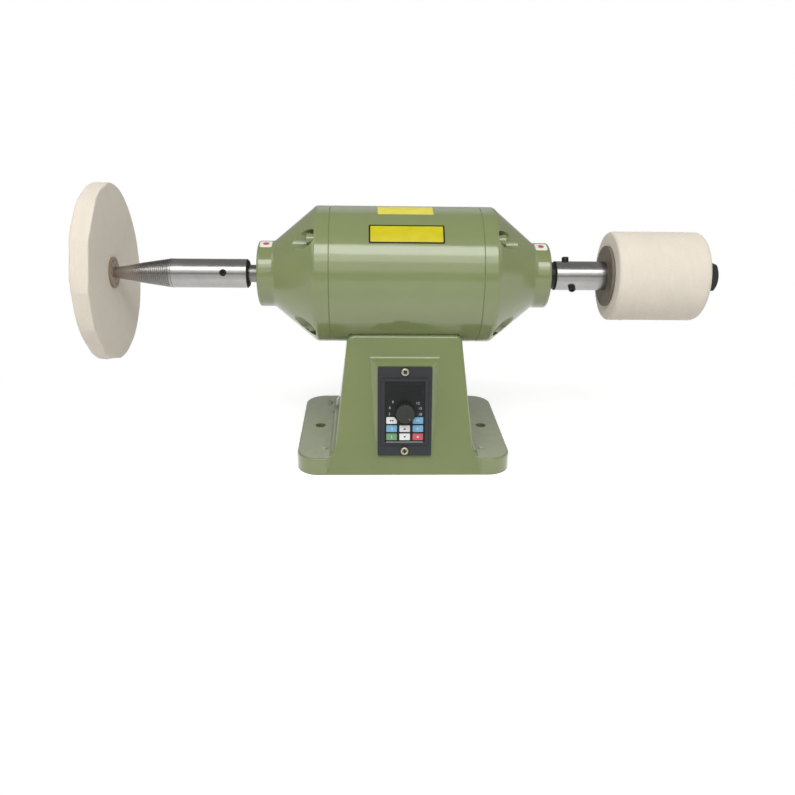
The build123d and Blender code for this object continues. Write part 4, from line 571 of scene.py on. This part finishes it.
def thread_grid(sizes):
    """Ridge with a flat crest, half as wide as its foot, along a conical helix, with a point at both ends.

    It runs in on the barrel as fine lines, stands full height at the thick end of the taper and is worn away
    towards the wheel.
    """
    run_in, tip_gap, lines, sunk = 4 * MM, 1.2 * MM, 0.12 * MM, 0.15 * MM
    wear_start, wear_full, worn_share = 32 * MM, 46 * MM, 0.1
    rise_turns, least_share, half_pitches, steps_a_turn = 2 / 3, 0.02, 0.48, 72
    tip_x, taper_x, barrel_r, root_at = taper_shape(sizes.depth)
    start, stop = taper_x + run_in, tip_x + tip_gap
    turns = (start - stop) / sizes.pitch
    along = np.linspace(0, 1, int(steps_a_turn * turns))
    x = start + (stop - start) * along
    angle = 2 * pi * turns * along
    root = np.where(x > taper_x, barrel_r, root_at(x))
    height = np.where(x > taper_x, lines, sizes.depth)
    worn = np.interp(x, (taper_x - wear_full, taper_x - wear_start), (worn_share, 1))
    fade = np.clip(np.minimum(along, 1 - along) * turns / rise_turns, least_share, worn)
    crest, foot = root + height * fade, root - sunk
    half = half_pitches * sizes.pitch * fade
    section = [(x + half, foot), (x + 0.5 * half, crest), (x - 0.5 * half, crest), (x - half, foot)]
    rim = np.stack([about_spindle(px, pr, angle) for px, pr in section], 1)
    ends = [np.repeat(rim[i].mean(0)[None, None], rim.shape[1], 1) for i in (0, -1)]
    return np.concatenate([ends[0], rim, ends[1]])


class POLISHER_OT_taper_thread(bpy.types.Operator):
    """Helical ridge on the tapered end of the spindle"""

    bl_idname = "polisher.taper_thread"
    bl_label = "Taper thread"

    def execute(self, context):
        mesh = solid_mesh("taper_thread", [thread_grid(context.scene.polisher_thread)])
        # Cut thread, dull and dark with old polish
        steel = worked("cut_steel", "8B8884", grain=(8, 0.6, 0.008), rough=0.28, metal=1.0)
        piece("taper_thread", mesh, "spindle", steel)
        return {"FINISHED"}


def knife_rim(angle, cuts, depth, full_r, seed):
    """Radius all round: the nearest of several straight cuts, deepest in front, softened where two meet.

    Chance shifts the aim of each cut, and makes it up to a quarter deeper or shallower.
    """
    first, stray, least, front_reach, sharpness, room = 0.6, 0.4, 0.08, 0.25, 200, 0.2 * MM
    luck = np.random.default_rng(seed).random((cuts, 2))
    aim = (np.arange(cuts) + first + stray * (luck[:, 0] - 0.5)) * 2 * pi / cuts
    front = least + (1 - least) * np.clip(np.cos(aim) + front_reach, 0, 1)
    reach = full_r - depth * front * (0.75 + 0.5 * luck[:, 1])
    near = np.clip(np.cos(angle[:, None] - aim), 0, 1) / reach
    return np.minimum((near**sharpness).sum(1) ** (-1 / sharpness), full_r - room)


def wheel_grid(sizes, thread_depth):
    """Rows round the axis over the near face, the rim and the outer face, which close in the bore.

    A face runs straight out from the bore, then round a quarter circle into the rim, whose radius comes from
    the knife cuts. The near face falls towards its washer, and its warp leans it out towards its upper front
    and bends it like a saddle. Soft dents lie over all of it.
    """
    columns, face_rows, edge_rows, rim_rows = 384, 30, 8, 12
    face_room, bore_room, outer_cut_share, warp_power = 0.15 * MM, 0.2 * MM, 0.45, 3
    low_x, high_x, full_r = round_size("felt_wheel")
    washer_r = round_size("wheel_washers")[2]
    root_at = taper_shape(thread_depth)[3]
    angle = full_turn(columns)
    near_x, outer_x = high_x - face_room, low_x + face_room
    near_rim = knife_rim(angle, sizes.cuts, sizes.cut_depth, full_r, seed=8)
    outer_rim = knife_rim(angle, sizes.cuts, sizes.cut_depth * outer_cut_share, full_r, seed=5)
    warp = sizes.warp * (np.cos(angle - pi / 3) + np.cos(2 * angle - pi / 2))
    out = np.concatenate([np.linspace(0, 1, face_rows), np.ones(edge_rows)])[:, None]
    quarter = np.linspace(0, pi / 2, edge_rows + 1)[1:]
    bend = np.concatenate([np.zeros(face_rows), quarter])[:, None]

    def face(x, inwards, rim, edge, dish, lean, seed):
        """Rows of one face, from the bore out to the rim."""
        bore = root_at(x - dish) + bore_room
        radius = bore + (rim - edge - bore) * out + edge * np.sin(bend)
        soft = sizes.dents * ripples(np.broadcast_to(angle, radius.shape), radius, seed)
        fall = dish * np.interp(radius, (washer_r, sizes.dish_r), (1, 0))
        depth = fall + edge * (1 - np.cos(bend)) + np.abs(soft) * out
        return about_spindle(x + lean * (radius / full_r) ** warp_power + inwards * depth, radius, angle)

    near = face(near_x, -1, near_rim, sizes.edge, sizes.dish, warp, seed=10)
    outer = face(outer_x, 1, outer_rim, sizes.outer_edge, dish=0.0, lean=0.0, seed=12)
    share = np.linspace(0, 1, rim_rows + 2)[1:-1, None]
    rim_r = near_rim + (outer_rim - near_rim) * share
    start = near_x + warp * (near_rim / full_r) ** warp_power - sizes.edge
    rim_x = start + (outer_x + sizes.outer_edge - start) * share
    swell = sizes.dents * ripples(np.broadcast_to(angle, rim_r.shape), rim_x, seed=21)
    tread = about_spindle(rim_x, np.minimum(rim_r + swell * np.sin(pi * share), full_r), angle)
    return np.concatenate([near, tread, outer[::-1]])


def drum_grid(sizes):
    """Rows round the axis along one profile, which closes in the bore.

    It runs out over the near face, round the edge, along the side, round the other edge and back in over the
    far face. Soft dents die out towards the bore.
    """
    columns, face_rows, edge_rows, side_rows, dent_power = 288, 15, 12, 58, 6
    low_x, high_x, outer_r = round_size("felt_drum")
    full_r = outer_r - sizes.dents
    near, far, bore = sizes.near_edge, sizes.far_edge, 10.3 * MM
    turn = np.linspace(0, pi / 2, edge_rows)
    face = np.linspace(0, 1, face_rows + 1)[:-1]
    side = np.linspace(0, 1, side_rows + 2)[1:-1]
    profile = (
        (np.full_like(face, low_x), bore + (full_r - near - bore) * face),
        (low_x + near * (1 - np.cos(turn)), full_r - near * (1 - np.sin(turn))),
        (low_x + near + (high_x - far - low_x - near) * side, np.full_like(side, full_r)),
        (high_x - far * (1 - np.sin(turn)), full_r - far * (1 - np.cos(turn))),
        (np.full_like(face, high_x), (bore + (full_r - far - bore) * face)[::-1]),
    )
    x, radius = (np.concatenate(places)[:, None] for places in zip(*profile))
    angle = np.broadcast_to(full_turn(columns), (len(x), columns))
    weight = np.clip((radius - bore) / (full_r - bore), 0, 1) ** dent_power
    soft = sizes.dents * ripples(angle, np.broadcast_to(x, angle.shape), seed=31)
    return about_spindle(x, radius + soft * weight, angle)


class POLISHER_OT_felts(bpy.types.Operator):
    """Felt wheel with a rim that was cut to shape by hand, and felt drum with softly rounded ends"""

    bl_idname = "polisher.felts"
    bl_label = "Felts"

    def execute(self, context):
        scene = context.scene
        felt = wool_felt(scene.polisher_colours)
        grid = wheel_grid(scene.polisher_felt, scene.polisher_thread.depth)
        mesh = solid_mesh("wool_wheel", [grid], ring=True)
        piece("wool_wheel", mesh, "spindle", felt, ("felt_wheel",))
        mesh = solid_mesh("wool_drum", [drum_grid(scene.polisher_felt)], ring=True)
        piece("wool_drum", mesh, "spindle", felt, ("felt_drum",))
        return {"FINISHED"}


def cross_screw(radius, height, crown, shank, reach, recess):
    """Rows of a pan-head screw about its own axis, as two lengths across it and the height.

    They run from the middle out over the crowned head, down its side, in under it and down the shank. The
    cross recess is pressed into the top by a depth that falls off beside its two arms.
    """
    columns, rings = 96, 40
    arm, length, slope, deep = (share * recess for share in (0.19, 0.5, 0.09, 0.34))
    turn = full_turn(columns)
    over = np.linspace(0, 1, rings) * radius
    out = np.concatenate([over, [radius, shank, shank, 0]])
    dome = np.clip(over - (radius - crown), 0, None)
    top = height - crown + np.sqrt(np.clip(crown**2 - dome**2, 0, None))
    level = np.concatenate([top, [0, 0, -reach, -reach]])
    right, up = out[:, None] * np.cos(turn), out[:, None] * np.sin(turn)
    beside = np.minimum(np.abs(right), np.abs(up))
    beyond = np.maximum(np.abs(right), np.abs(up))
    dent = np.clip((arm - beside) / slope + 0.5, 0, 1) * np.clip((length - beyond) / slope + 0.5, 0, 1)
    pressed = np.where(np.arange(len(out)) < rings, deep, 0)
    return right, up, level[:, None] - pressed[:, None] * dent


class POLISHER_OT_screws(bpy.types.Operator):
    """Cross-recess screws of the panel and of the base's cover"""

    bl_idname = "polisher.screws"
    bl_label = "Screws"

    def execute(self, context):
        self.panel_screws()
        self.base_screws()
        return {"FINISHED"}

    def panel_screws(self):
        """Two screws on the bezel's face, the upper one first, each turned about its axis, in radians."""
        crown, shank_r, recess, turns = 2.0 * MM, 2.0 * MM, 4.6 * MM, (-0.8, 0.1)
        low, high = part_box("panel_screws")
        bottom, top = panel_reach("panel_screws", PANEL_OUT)
        lowest, highest = panel_reach("panel_screws", PANEL_UP)
        head = (high.x - low.x) / 2
        sizes = (head, top - BEZEL_FACE, crown, shank_r, BEZEL_FACE - bottom, recess)
        right, up, level = cross_screw(*sizes)
        grids = []
        for place, turned in zip((highest - head, lowest + head), turns):
            across = right * cos(turned) - up * sin(turned)
            along = right * sin(turned) + up * cos(turned)
            grids.append(on_panel(across, along + place, level + BEZEL_FACE))
        mesh = solid_mesh("bezel_screws", grids)
        zinc = passivated_zinc(top)
        piece("bezel_screws", mesh, "machine_base", zinc, ("panel_screws",))

    def base_screws(self):
        """Four screws in the corners of the base, which hold its cover from above."""
        head, height, crown, shank_r, recess = 3.8 * MM, 2.6 * MM, 1.8 * MM, 2.0 * MM, 3.4 * MM
        low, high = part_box("cover_screws")
        seat = high.z - height
        right, up, level = cross_screw(head, height, crown, shank_r, seat - low.z, recess)
        grids = []
        for x in (low.x + head, high.x - head):
            for y in (low.y + head, high.y - head):
                grids.append(np.stack([right + x, up + y, level + seat], -1))
        # Enamel rubbed thin and dusty on the heads
        worn = worked("rubbed_enamel", "A3A890", grain=(4, 0.6, 0.01), rough=0.45)
        mesh = solid_mesh("base_screws", grids)
        piece("base_screws", mesh, "machine_base", worn, ("cover_screws",))


class POLISHER_OT_panel(bpy.types.Operator):
    """Plastics of the control panel, its keys and its knob"""

    bl_idname = "polisher.panel"
    bl_label = "Control panel"

    def execute(self, context):
        colours = context.scene.polisher_colours
        for part, name, colour, grain, rough, ior, gloss in (
            # Moulded ABS with a fine spark-eroded grain
            ("panel_bezel", "moulded_abs", colours.bezel, (20, 0.5, 0.02), 0.48, 1.53, 0.35),
            # Printed polyester film with a satin face
            ("keypad_plate", "polyester_film", colours.film, (15, 0.4, 0.006), 0.36, 1.5, 0.3),
            # Tinted acrylic window, cast flat and smooth
            ("display_lens", "tinted_acrylic", "1C1E1D", (25, 3, 0.002), 0.3, 1.49, 0.3),
            # Moulded phenolic knob, matt from handling
            ("speed_knob", "moulded_phenolic", colours.knob, (8, 0.4, 0.02), 0.5, 1.55, 0.35),
        ):
            coat_nodes(worked(name, colour, grain, rough, ior, gloss=gloss), part)
        for tint, keys in KEYS.items():
            # Pad-polished ABS caps
            colour = getattr(colours, f"{tint}_key")
            cap = worked(f"{tint}_key_abs", colour, grain=(4, 0.3, 0.006), rough=0.38, ior=1.53)
            coat_nodes(cap, *(f"{key}_key" for key in keys))
        return {"FINISHED"}


# Angles of the numbers round the knob and of the knob's dot, in degrees up from the right
DIAL_NUMBERS = {"3": 188, "6": 164, "9": 141, "12": 34, "15": 13, "18": -9}
POINTER_ANGLE = -53


class POLISHER_OT_prints(bpy.types.Operator):
    """Numbers round the knob, key signs, the knob's pointer, and a pale line below the keys that is a painted
    highlight
    """

    bl_idname = "polisher.prints"
    bl_label = "Panel prints"

    def execute(self, context):
        sizes = context.scene.polisher_prints
        # Screen-printed inks: even, thin and a little matt
        printed = partial(worked, grain=(5, 0.3, 0.003))
        pale = printed("pale_ink", "C3C8CB", rough=0.55)
        grey = printed("grey_ink", "B4B7B9", rough=0.55)
        dark = printed("dark_ink", "3A3D40", rough=0.55)
        red = printed("red_ink", "8C5C54", rough=0.5)
        on_face = Matrix((PANEL_RIGHT, PANEL_UP, PANEL_OUT)).transposed().to_4x4()
        for words, degrees in DIAL_NUMBERS.items():
            turn = radians(degrees)
            place = on_panel(sizes.dial * cos(turn), sizes.dial * sin(turn), KEYPAD_TOP)
            mesh = mark(words, sizes.numeral, sizes.ink)
            mesh.transform(Matrix.Translation(place) @ on_face)
            piece(f"dial_number_{words}", mesh, "machine_base", grey)

        def stamp(name, outline, centre, top, body, ink):
            """A print of one outline about a centre on the panel, half of it sunk into what it lies on."""
            right, up, level = pad(outline, top - sizes.ink, top + sizes.ink)
            grid = on_panel(right + centre[0], up + centre[1], level)
            piece(name, solid_mesh(name, [grid]), body, ink)

        frame_highlight_drop, wedge_size, stop_r, aside, pointer_r, dot_r = np.array((6.2, 1.9, 1.3, 1.2, 7.4, 0.9)) * MM
        # A pale line below the keys, in pale ink: a painted highlight for light caught by the bezel frame's
        # lower edge
        frame_highlight_line = rounded_outline(width=42 * MM, height=0.7 * MM, corner=0.3 * MM)
        below = (0, key_middle("down_key")[1] - frame_highlight_drop)
        stamp("keypad_rule", frame_highlight_line, below, KEYPAD_TOP, "machine_base", pale)
        # A triangle that points up, and the same one pointing to the left
        wedge = wedge_size * np.array([(0, 0.62), (-0.85, -0.55), (0.85, -0.55)])
        arrow = wedge[:, ::-1] * (-1, 1)
        square = rounded_outline(width=1.7 * MM, height=1.7 * MM, corner=0.3 * MM)
        bar = rounded_outline(width=4.2 * MM, height=1.2 * MM, corner=0.4 * MM)
        stroke = rounded_outline(width=0.9 * MM, height=3.4 * MM, corner=0.3 * MM)
        for name, key, outline, shift, ink in (
            ("up_sign", "up", wedge, 0, dark),
            ("down_sign", "down", -wedge, 0, dark),
            ("mode_sign_left", "mode", square, -aside, dark),
            ("mode_sign_right", "mode", square, aside, dark),
            ("set_sign", "set", bar, 0, pale),
            ("back_sign", "back", arrow, 0, pale),
            ("next_sign", "next", -arrow, 0, pale),
            ("run_sign", "run", stroke, 0, pale),
            ("stop_sign", "stop", round_outline(stop_r), 0, pale),
        ):
            place = key_middle(f"{key}_key") + (shift, 0)
            stamp(name, outline, place, KEY_TOP, f"{key}_button", ink)
        turn = radians(POINTER_ANGLE)
        spot = (pointer_r * cos(turn), pointer_r * sin(turn))
        stamp("knob_pointer", round_outline(dot_r), spot, KNOB_TOP, "knob", red)
        return {"FINISHED"}


# Blank plates: length along X and height round the axis, then the place along X and the angle above the front
FRONT_PLATE, FRONT_PLATE_SPOT = (82 * MM, 24.2 * MM), (0.0, 46.4)
TOP_PLATE, TOP_PLATE_SPOT = (61.5 * MM, 24.6 * MM), (-0.3 * MM, 78.9)
TAG, TAG_DOT_R = (13.6 * MM, 15.0 * MM), 3.4 * MM
TAG_SPOTS = {"left_tag": (-156.4 * MM, 75.0), "right_tag": (155.6 * MM, 72.5)}

# Layers of film: height of the lower face above the metal, and of the upper one as a share of the film's own
LOWER_FILM, UPPER_FILM = (-0.1 * MM, 1.0), (0.02 * MM, 1.3)
FILM_RINGS, FILM_STEPS = 12, 200


class POLISHER_OT_plates(bpy.types.Operator):
    """Blank plates on the motor shell and the bearing bosses"""

    bl_idname = "polisher.plates"
    bl_label = "Blank plates"

    def execute(self, context):
        sizes = context.scene.polisher_prints
        colours = context.scene.polisher_colours
        # Vinyl film with a printed face, slightly crazed by heat
        vinyl = partial(worked, grain=(12, 1.2, 0.006), ior=1.53)
        yellow = vinyl("yellow_vinyl", colours.plate, rough=0.35)
        # The top plate takes the yellow vinyl in a paler tone: a painted highlight from the light overhead
        highlighted_yellow = vinyl("faded_vinyl", colours.top_plate, rough=0.45)
        black = vinyl("black_vinyl", "23220C", rough=0.55, gloss=0.2)
        white = vinyl("white_vinyl", "E3E2D8", rough=0.4)
        red = vinyl("red_vinyl", "BE4B45", rough=0.4)

        def wrap(name, outline, spot, radius, layer, film):
            """A film wrapped round the spindle axis: one length runs along X, the other round the radius."""
            x, angle = spot[0], radians(spot[1])
            low, high = radius + layer[0], radius + layer[1] * sizes.film
            along, up, level = pad(outline, low, high, FILM_RINGS)
            grid = about_spindle(x + along, level, angle + up / radius)
            piece(name, solid_mesh(name, [grid]), "machine_base", film)

        rim = rounded_outline(*FRONT_PLATE, corner=1.2 * MM, count=FILM_STEPS)
        inside = (side - 2 * sizes.border for side in FRONT_PLATE)
        field = rounded_outline(*inside, corner=0.6 * MM, count=FILM_STEPS)
        wrap("front_plate_border", rim, FRONT_PLATE_SPOT, SHELL_R, LOWER_FILM, black)
        wrap("front_plate", field, FRONT_PLATE_SPOT, SHELL_R, UPPER_FILM, yellow)
        strip = rounded_outline(*TOP_PLATE, corner=1.2 * MM, count=FILM_STEPS)
        wrap("top_plate", strip, TOP_PLATE_SPOT, SHELL_R, LOWER_FILM, highlighted_yellow)
        for name, spot in TAG_SPOTS.items():
            wrap(name, rounded_outline(*TAG, corner=2.4 * MM), spot, BOSS_R, LOWER_FILM, white)
            wrap(f"{name}_dot", round_outline(TAG_DOT_R), spot, BOSS_R, UPPER_FILM, red)
        return {"FINISHED"}


class POLISHER_OT_inner_parts(bpy.types.Operator):
    """Finishes of what lies under the covers and of the cable gland"""

    bl_idname = "polisher.inner_parts"
    bl_label = "Inner parts"

    def execute(self, context):
        inner = partial(worked, grain=(12, 0.6, 0.01))
        # Glass-filled nylon, satin and almost black
        nylon = inner("moulded_nylon", "1F2021", rough=0.44, ior=1.53)
        coat_nodes(nylon, "cable_gland", "gland_cap", "gland_locknut")
        coat_nodes(nylon, "control_housing", "key_switches", "display_module")
        # Nitrile rubber, matt with a trace of talc
        rubber = inner("nitrile_rubber", "232324", rough=0.7, ior=1.52)
        coat_nodes(rubber, "shaft_seals", "lead_grommet", "motor_lead")
        # Zinc-plated sheet, bluish and lightly spangled
        coat_nodes(inner("zinc_plate", "B4B7B9", rough=0.4, metal=1.0), "bottom_cover", "potentiometer")
        # Through-hardened bearing steel, ground bright
        ground = inner("bearing_steel", "CBCBC9", rough=0.12, metal=1.0)
        for part in ("outer_ring", "inner_ring", "balls"):
            coat_nodes(ground, f"left_bearing_{part}", f"right_bearing_{part}")
        # Spring strip, blued in tempering
        spring = inner("spring_strip", "8C8E93", rough=0.3, metal=1.0)
        coat_nodes(spring, "preload_spring", "left_bearing_cage", "right_bearing_cage")
        # Stacked electrical sheet, dull grey
        coat_nodes(inner("electrical_sheet", "6A6B6C", rough=0.5, metal=0.9), "stator_core", "rotor_core")
        # Lacquered copper wire
        coat_nodes(inner("lacquered_copper", "A9612F", rough=0.35, metal=0.9), "stator_winding")
        # Die-cast aluminium with a grainy skin
        coat_nodes(inner("cast_aluminium", "BDBEBF", rough=0.45, metal=1.0), "rotor_end_rings", "heat_sink")
        # Glass-epoxy board under green resist
        coat_nodes(inner("epoxy_board", "2F5B3A", rough=0.4, ior=1.55), "control_board")
        return {"FINISHED"}


# Camera, which gives the photograph's view: its place in metres, its turn in degrees, its focal length and
# the picture's side in pixels, and the width of its sensor in millimetres
CAMERA_PLACE = (-0.04338, -0.91029, 0.40987)
CAMERA_YAW, CAMERA_PITCH, CAMERA_ROLL = 2.42, -21.14, 0.93
CAMERA_FOCUS, IMAGE_SIDE = 791.93, 795
SENSOR = 36.0

# Softboxes: name, bearing to the left of the front and height above the bench in degrees, width and height
# in metres, watts; each stands SOFTBOX_REACH from the middle of the machine
SOFTBOXES = (
    ("upper_strip", 5.0, 53.0, 2.0, 0.48, 15.0),
    ("middle_strip", 5.0, 39.2, 2.0, 0.37, 5.2),
    ("lower_strip", 5.0, 25.0, 2.0, 0.46, 2.3),
    ("left_fill", 80.0, 45.0, 0.8, 1.2, 3.2),
    ("right_fill", -80.0, 38.0, 0.8, 1.2, 2.0),
)
SOFTBOX_AIM = (0.0, 0.0, 0.18)
SOFTBOX_REACH = 1.75

# Floor: its radius and how far it lies below the base, its paint, the light added where it is seen, and the
# distances between which it fades to white
FLOOR_R, FLOOR_DROP, FLOOR_STEPS = 9.0, 0.2 * MM, 96
FLOOR_PAINT, FLOOR_LIFT = (0.8, 0.8, 0.8, 1), 0.5
FLOOR_FADE_START, FLOOR_FADE_END = 0.24, 0.62
WHITE = (1, 1, 1, 1)

# World: its strength for soft light, and low down and overhead where metal and glass show it
WORLD_SOFT, WORLD_LOW, WORLD_HIGH = 0.45, 1.0, 0.32
WORLD_LOW_END, WORLD_HIGH_START = -0.02, 0.1


class POLISHER_OT_stage(bpy.types.Operator):
    """Pale floor, softboxes, world and camera"""

    bl_idname = "polisher.stage"
    bl_label = "Stage"

    def execute(self, context):
        scene = context.scene
        scene.view_settings.view_transform = "Standard"
        self.floor(scene)
        self.lights(scene)
        self.world(scene)
        self.camera(scene)
        return {"FINISHED"}

    def floor(self, scene):
        """A wide pale disc: it takes the shadow near the machine and fades to plain white far out."""
        rim = round_outline(FLOOR_R, FLOOR_STEPS)
        mesh = bpy.data.meshes.new("floor")
        mesh.from_pydata(np.pad(rim, ((0, 0), (0, 1)), constant_values=-FLOOR_DROP), [], [range(FLOOR_STEPS)])
        material, add, place = begin("studio_floor")
        ray = add("LightPath").outputs
        seen = add("Math", {0: ray["Is Camera Ray"], 1: ray["Is Glossy Ray"]}, operation="MAXIMUM")
        shown = add("Math", {0: seen, 1: ray["Is Transmission Ray"]}, operation="MAXIMUM")
        away = add("VectorMath", {0: place}, operation="LENGTH")
        fade = {"Value": away, "From Min": FLOOR_FADE_START, "From Max": FLOOR_FADE_END}
        far = add("MapRange", fade, interpolation_type="SMOOTHSTEP")
        paint = add("BsdfDiffuse", {"Color": FLOOR_PAINT})
        lift = add("Emission", {"Color": WHITE, "Strength": FLOOR_LIFT})
        lit = add("AddShader", {0: paint, 1: lift})
        white = add("Emission", {"Color": WHITE, "Strength": 1.0})
        view = add("MixShader", {0: far, 1: lit, 2: white})
        both = add("MixShader", {0: shown, 1: paint, 2: view})
        add("OutputMaterial", {"Surface": both})
        mesh.materials.append(material)
        floor = bpy.data.objects.new("floor", mesh)
        scene.collection.objects.link(floor)

    def lights(self, scene):
        """Softboxes that face the machine."""
        for name, bearing, rise, width, height, watts in SOFTBOXES:
            lamp = bpy.data.lights.new(name, "AREA")
            lamp.shape = "RECTANGLE"
            lamp.size, lamp.size_y, lamp.energy = width, height, watts
            box = bpy.data.objects.new(name, lamp)
            turn, lift = radians(bearing), radians(rise)
            away = SOFTBOX_REACH * Vector((-sin(turn) * cos(lift), -cos(turn) * cos(lift), sin(lift)))
            facing = away.to_track_quat("Z", "Y").to_matrix().to_4x4()
            box.matrix_world = Matrix.Translation(Vector(SOFTBOX_AIM) + away) @ facing
            scene.collection.objects.link(box)

    def world(self, scene):
        """A world that the camera sees white, and that mirrors as white low down and grey overhead."""
        world = bpy.data.worlds.new("studio")
        world.use_nodes = True
        world.node_tree.nodes.clear()
        add = partial(node, world.node_tree)
        way = add("TexCoord").outputs["Generated"]
        up = add("SeparateXYZ", {"Vector": way}).outputs["Z"]
        heights = {"Value": up, "From Min": WORLD_LOW_END, "From Max": WORLD_HIGH_START}
        levels = {"To Min": WORLD_LOW, "To Max": WORLD_HIGH}
        sky = add("MapRange", {**heights, **levels}, interpolation_type="SMOOTHSTEP")
        ray = add("LightPath").outputs
        mirrored = add("Math", {0: ray["Is Glossy Ray"], 1: ray["Is Transmission Ray"]}, operation="MAXIMUM")
        room = add("Mix", {FACTOR: mirrored, FROM_NUMBER: WORLD_SOFT, TO_NUMBER: sky})
        strength = add("Mix", {FACTOR: ray["Is Camera Ray"], FROM_NUMBER: room, TO_NUMBER: 1.0})
        light = add("Background", {"Color": WHITE, "Strength": strength})
        add("OutputWorld", {"Surface": light})
        scene.world = world

    def camera(self, scene):
        """Camera at the photograph's place: it faces +Y, then yaws to the right, pitches down and rolls."""
        yaw = Matrix.Rotation(radians(-CAMERA_YAW), 4, "Z")
        pitch = Matrix.Rotation(radians(90 + CAMERA_PITCH), 4, "X")
        roll = Matrix.Rotation(radians(CAMERA_ROLL), 4, "Z")
        lens = bpy.data.cameras.new("camera")
        lens.sensor_width = SENSOR
        lens.lens = SENSOR * CAMERA_FOCUS / IMAGE_SIDE
        camera = bpy.data.objects.new("camera", lens)
        camera.matrix_world = Matrix.Translation(CAMERA_PLACE) @ yaw @ pitch @ roll
        scene.collection.objects.link(camera)
        scene.camera = camera


OPERATORS = (
    POLISHER_OT_castings,
    POLISHER_OT_shaft_parts,
    POLISHER_OT_taper_thread,
    POLISHER_OT_felts,
    POLISHER_OT_screws,
    POLISHER_OT_panel,
    POLISHER_OT_prints,
    POLISHER_OT_plates,
    POLISHER_OT_inner_parts,
    POLISHER_OT_stage,
)

SETTINGS = {
    "polisher_colours": PolisherColours,
    "polisher_felt": PolisherFelt,
    "polisher_thread": PolisherThread,
    "polisher_prints": PolisherPrints,
}


class POLISHER_PT_sidebar(bpy.types.Panel):
    """Settings and steps of the bench polisher"""

    bl_idname = "POLISHER_PT_sidebar"
    bl_label = "Bench polisher"
    bl_space_type = "VIEW_3D"
    bl_region_type = "UI"
    bl_category = "Polisher"

    def draw(self, context):
        for settings in SETTINGS:
            group = getattr(context.scene, settings)
            box = self.layout.box()
            for name in group.bl_rna.properties.keys():
                if name not in ("name", "rna_type"):
                    box.prop(group, name)
        for operator in OPERATORS:
            self.layout.operator(operator.bl_idname)


def register():
    """Register the settings, the operators and the sidebar panel."""
    for name, group in SETTINGS.items():
        bpy.utils.register_class(group)
        setattr(bpy.types.Scene, name, PointerProperty(type=group))
    for operator in (*OPERATORS, POLISHER_PT_sidebar):
        bpy.utils.register_class(operator)


def unregister():
    """Take them out again, last first."""
    for operator in reversed((*OPERATORS, POLISHER_PT_sidebar)):
        bpy.utils.unregister_class(operator)
    for name, group in reversed(SETTINGS.items()):
        delattr(bpy.types.Scene, name)
        bpy.utils.unregister_class(group)


def main():
    """Build every piece in order."""
    register()
    for operator in OPERATORS:
        group, name = operator.bl_idname.split(".")
        getattr(getattr(bpy.ops, group), name)()


if __name__ == "__main__":
    main()
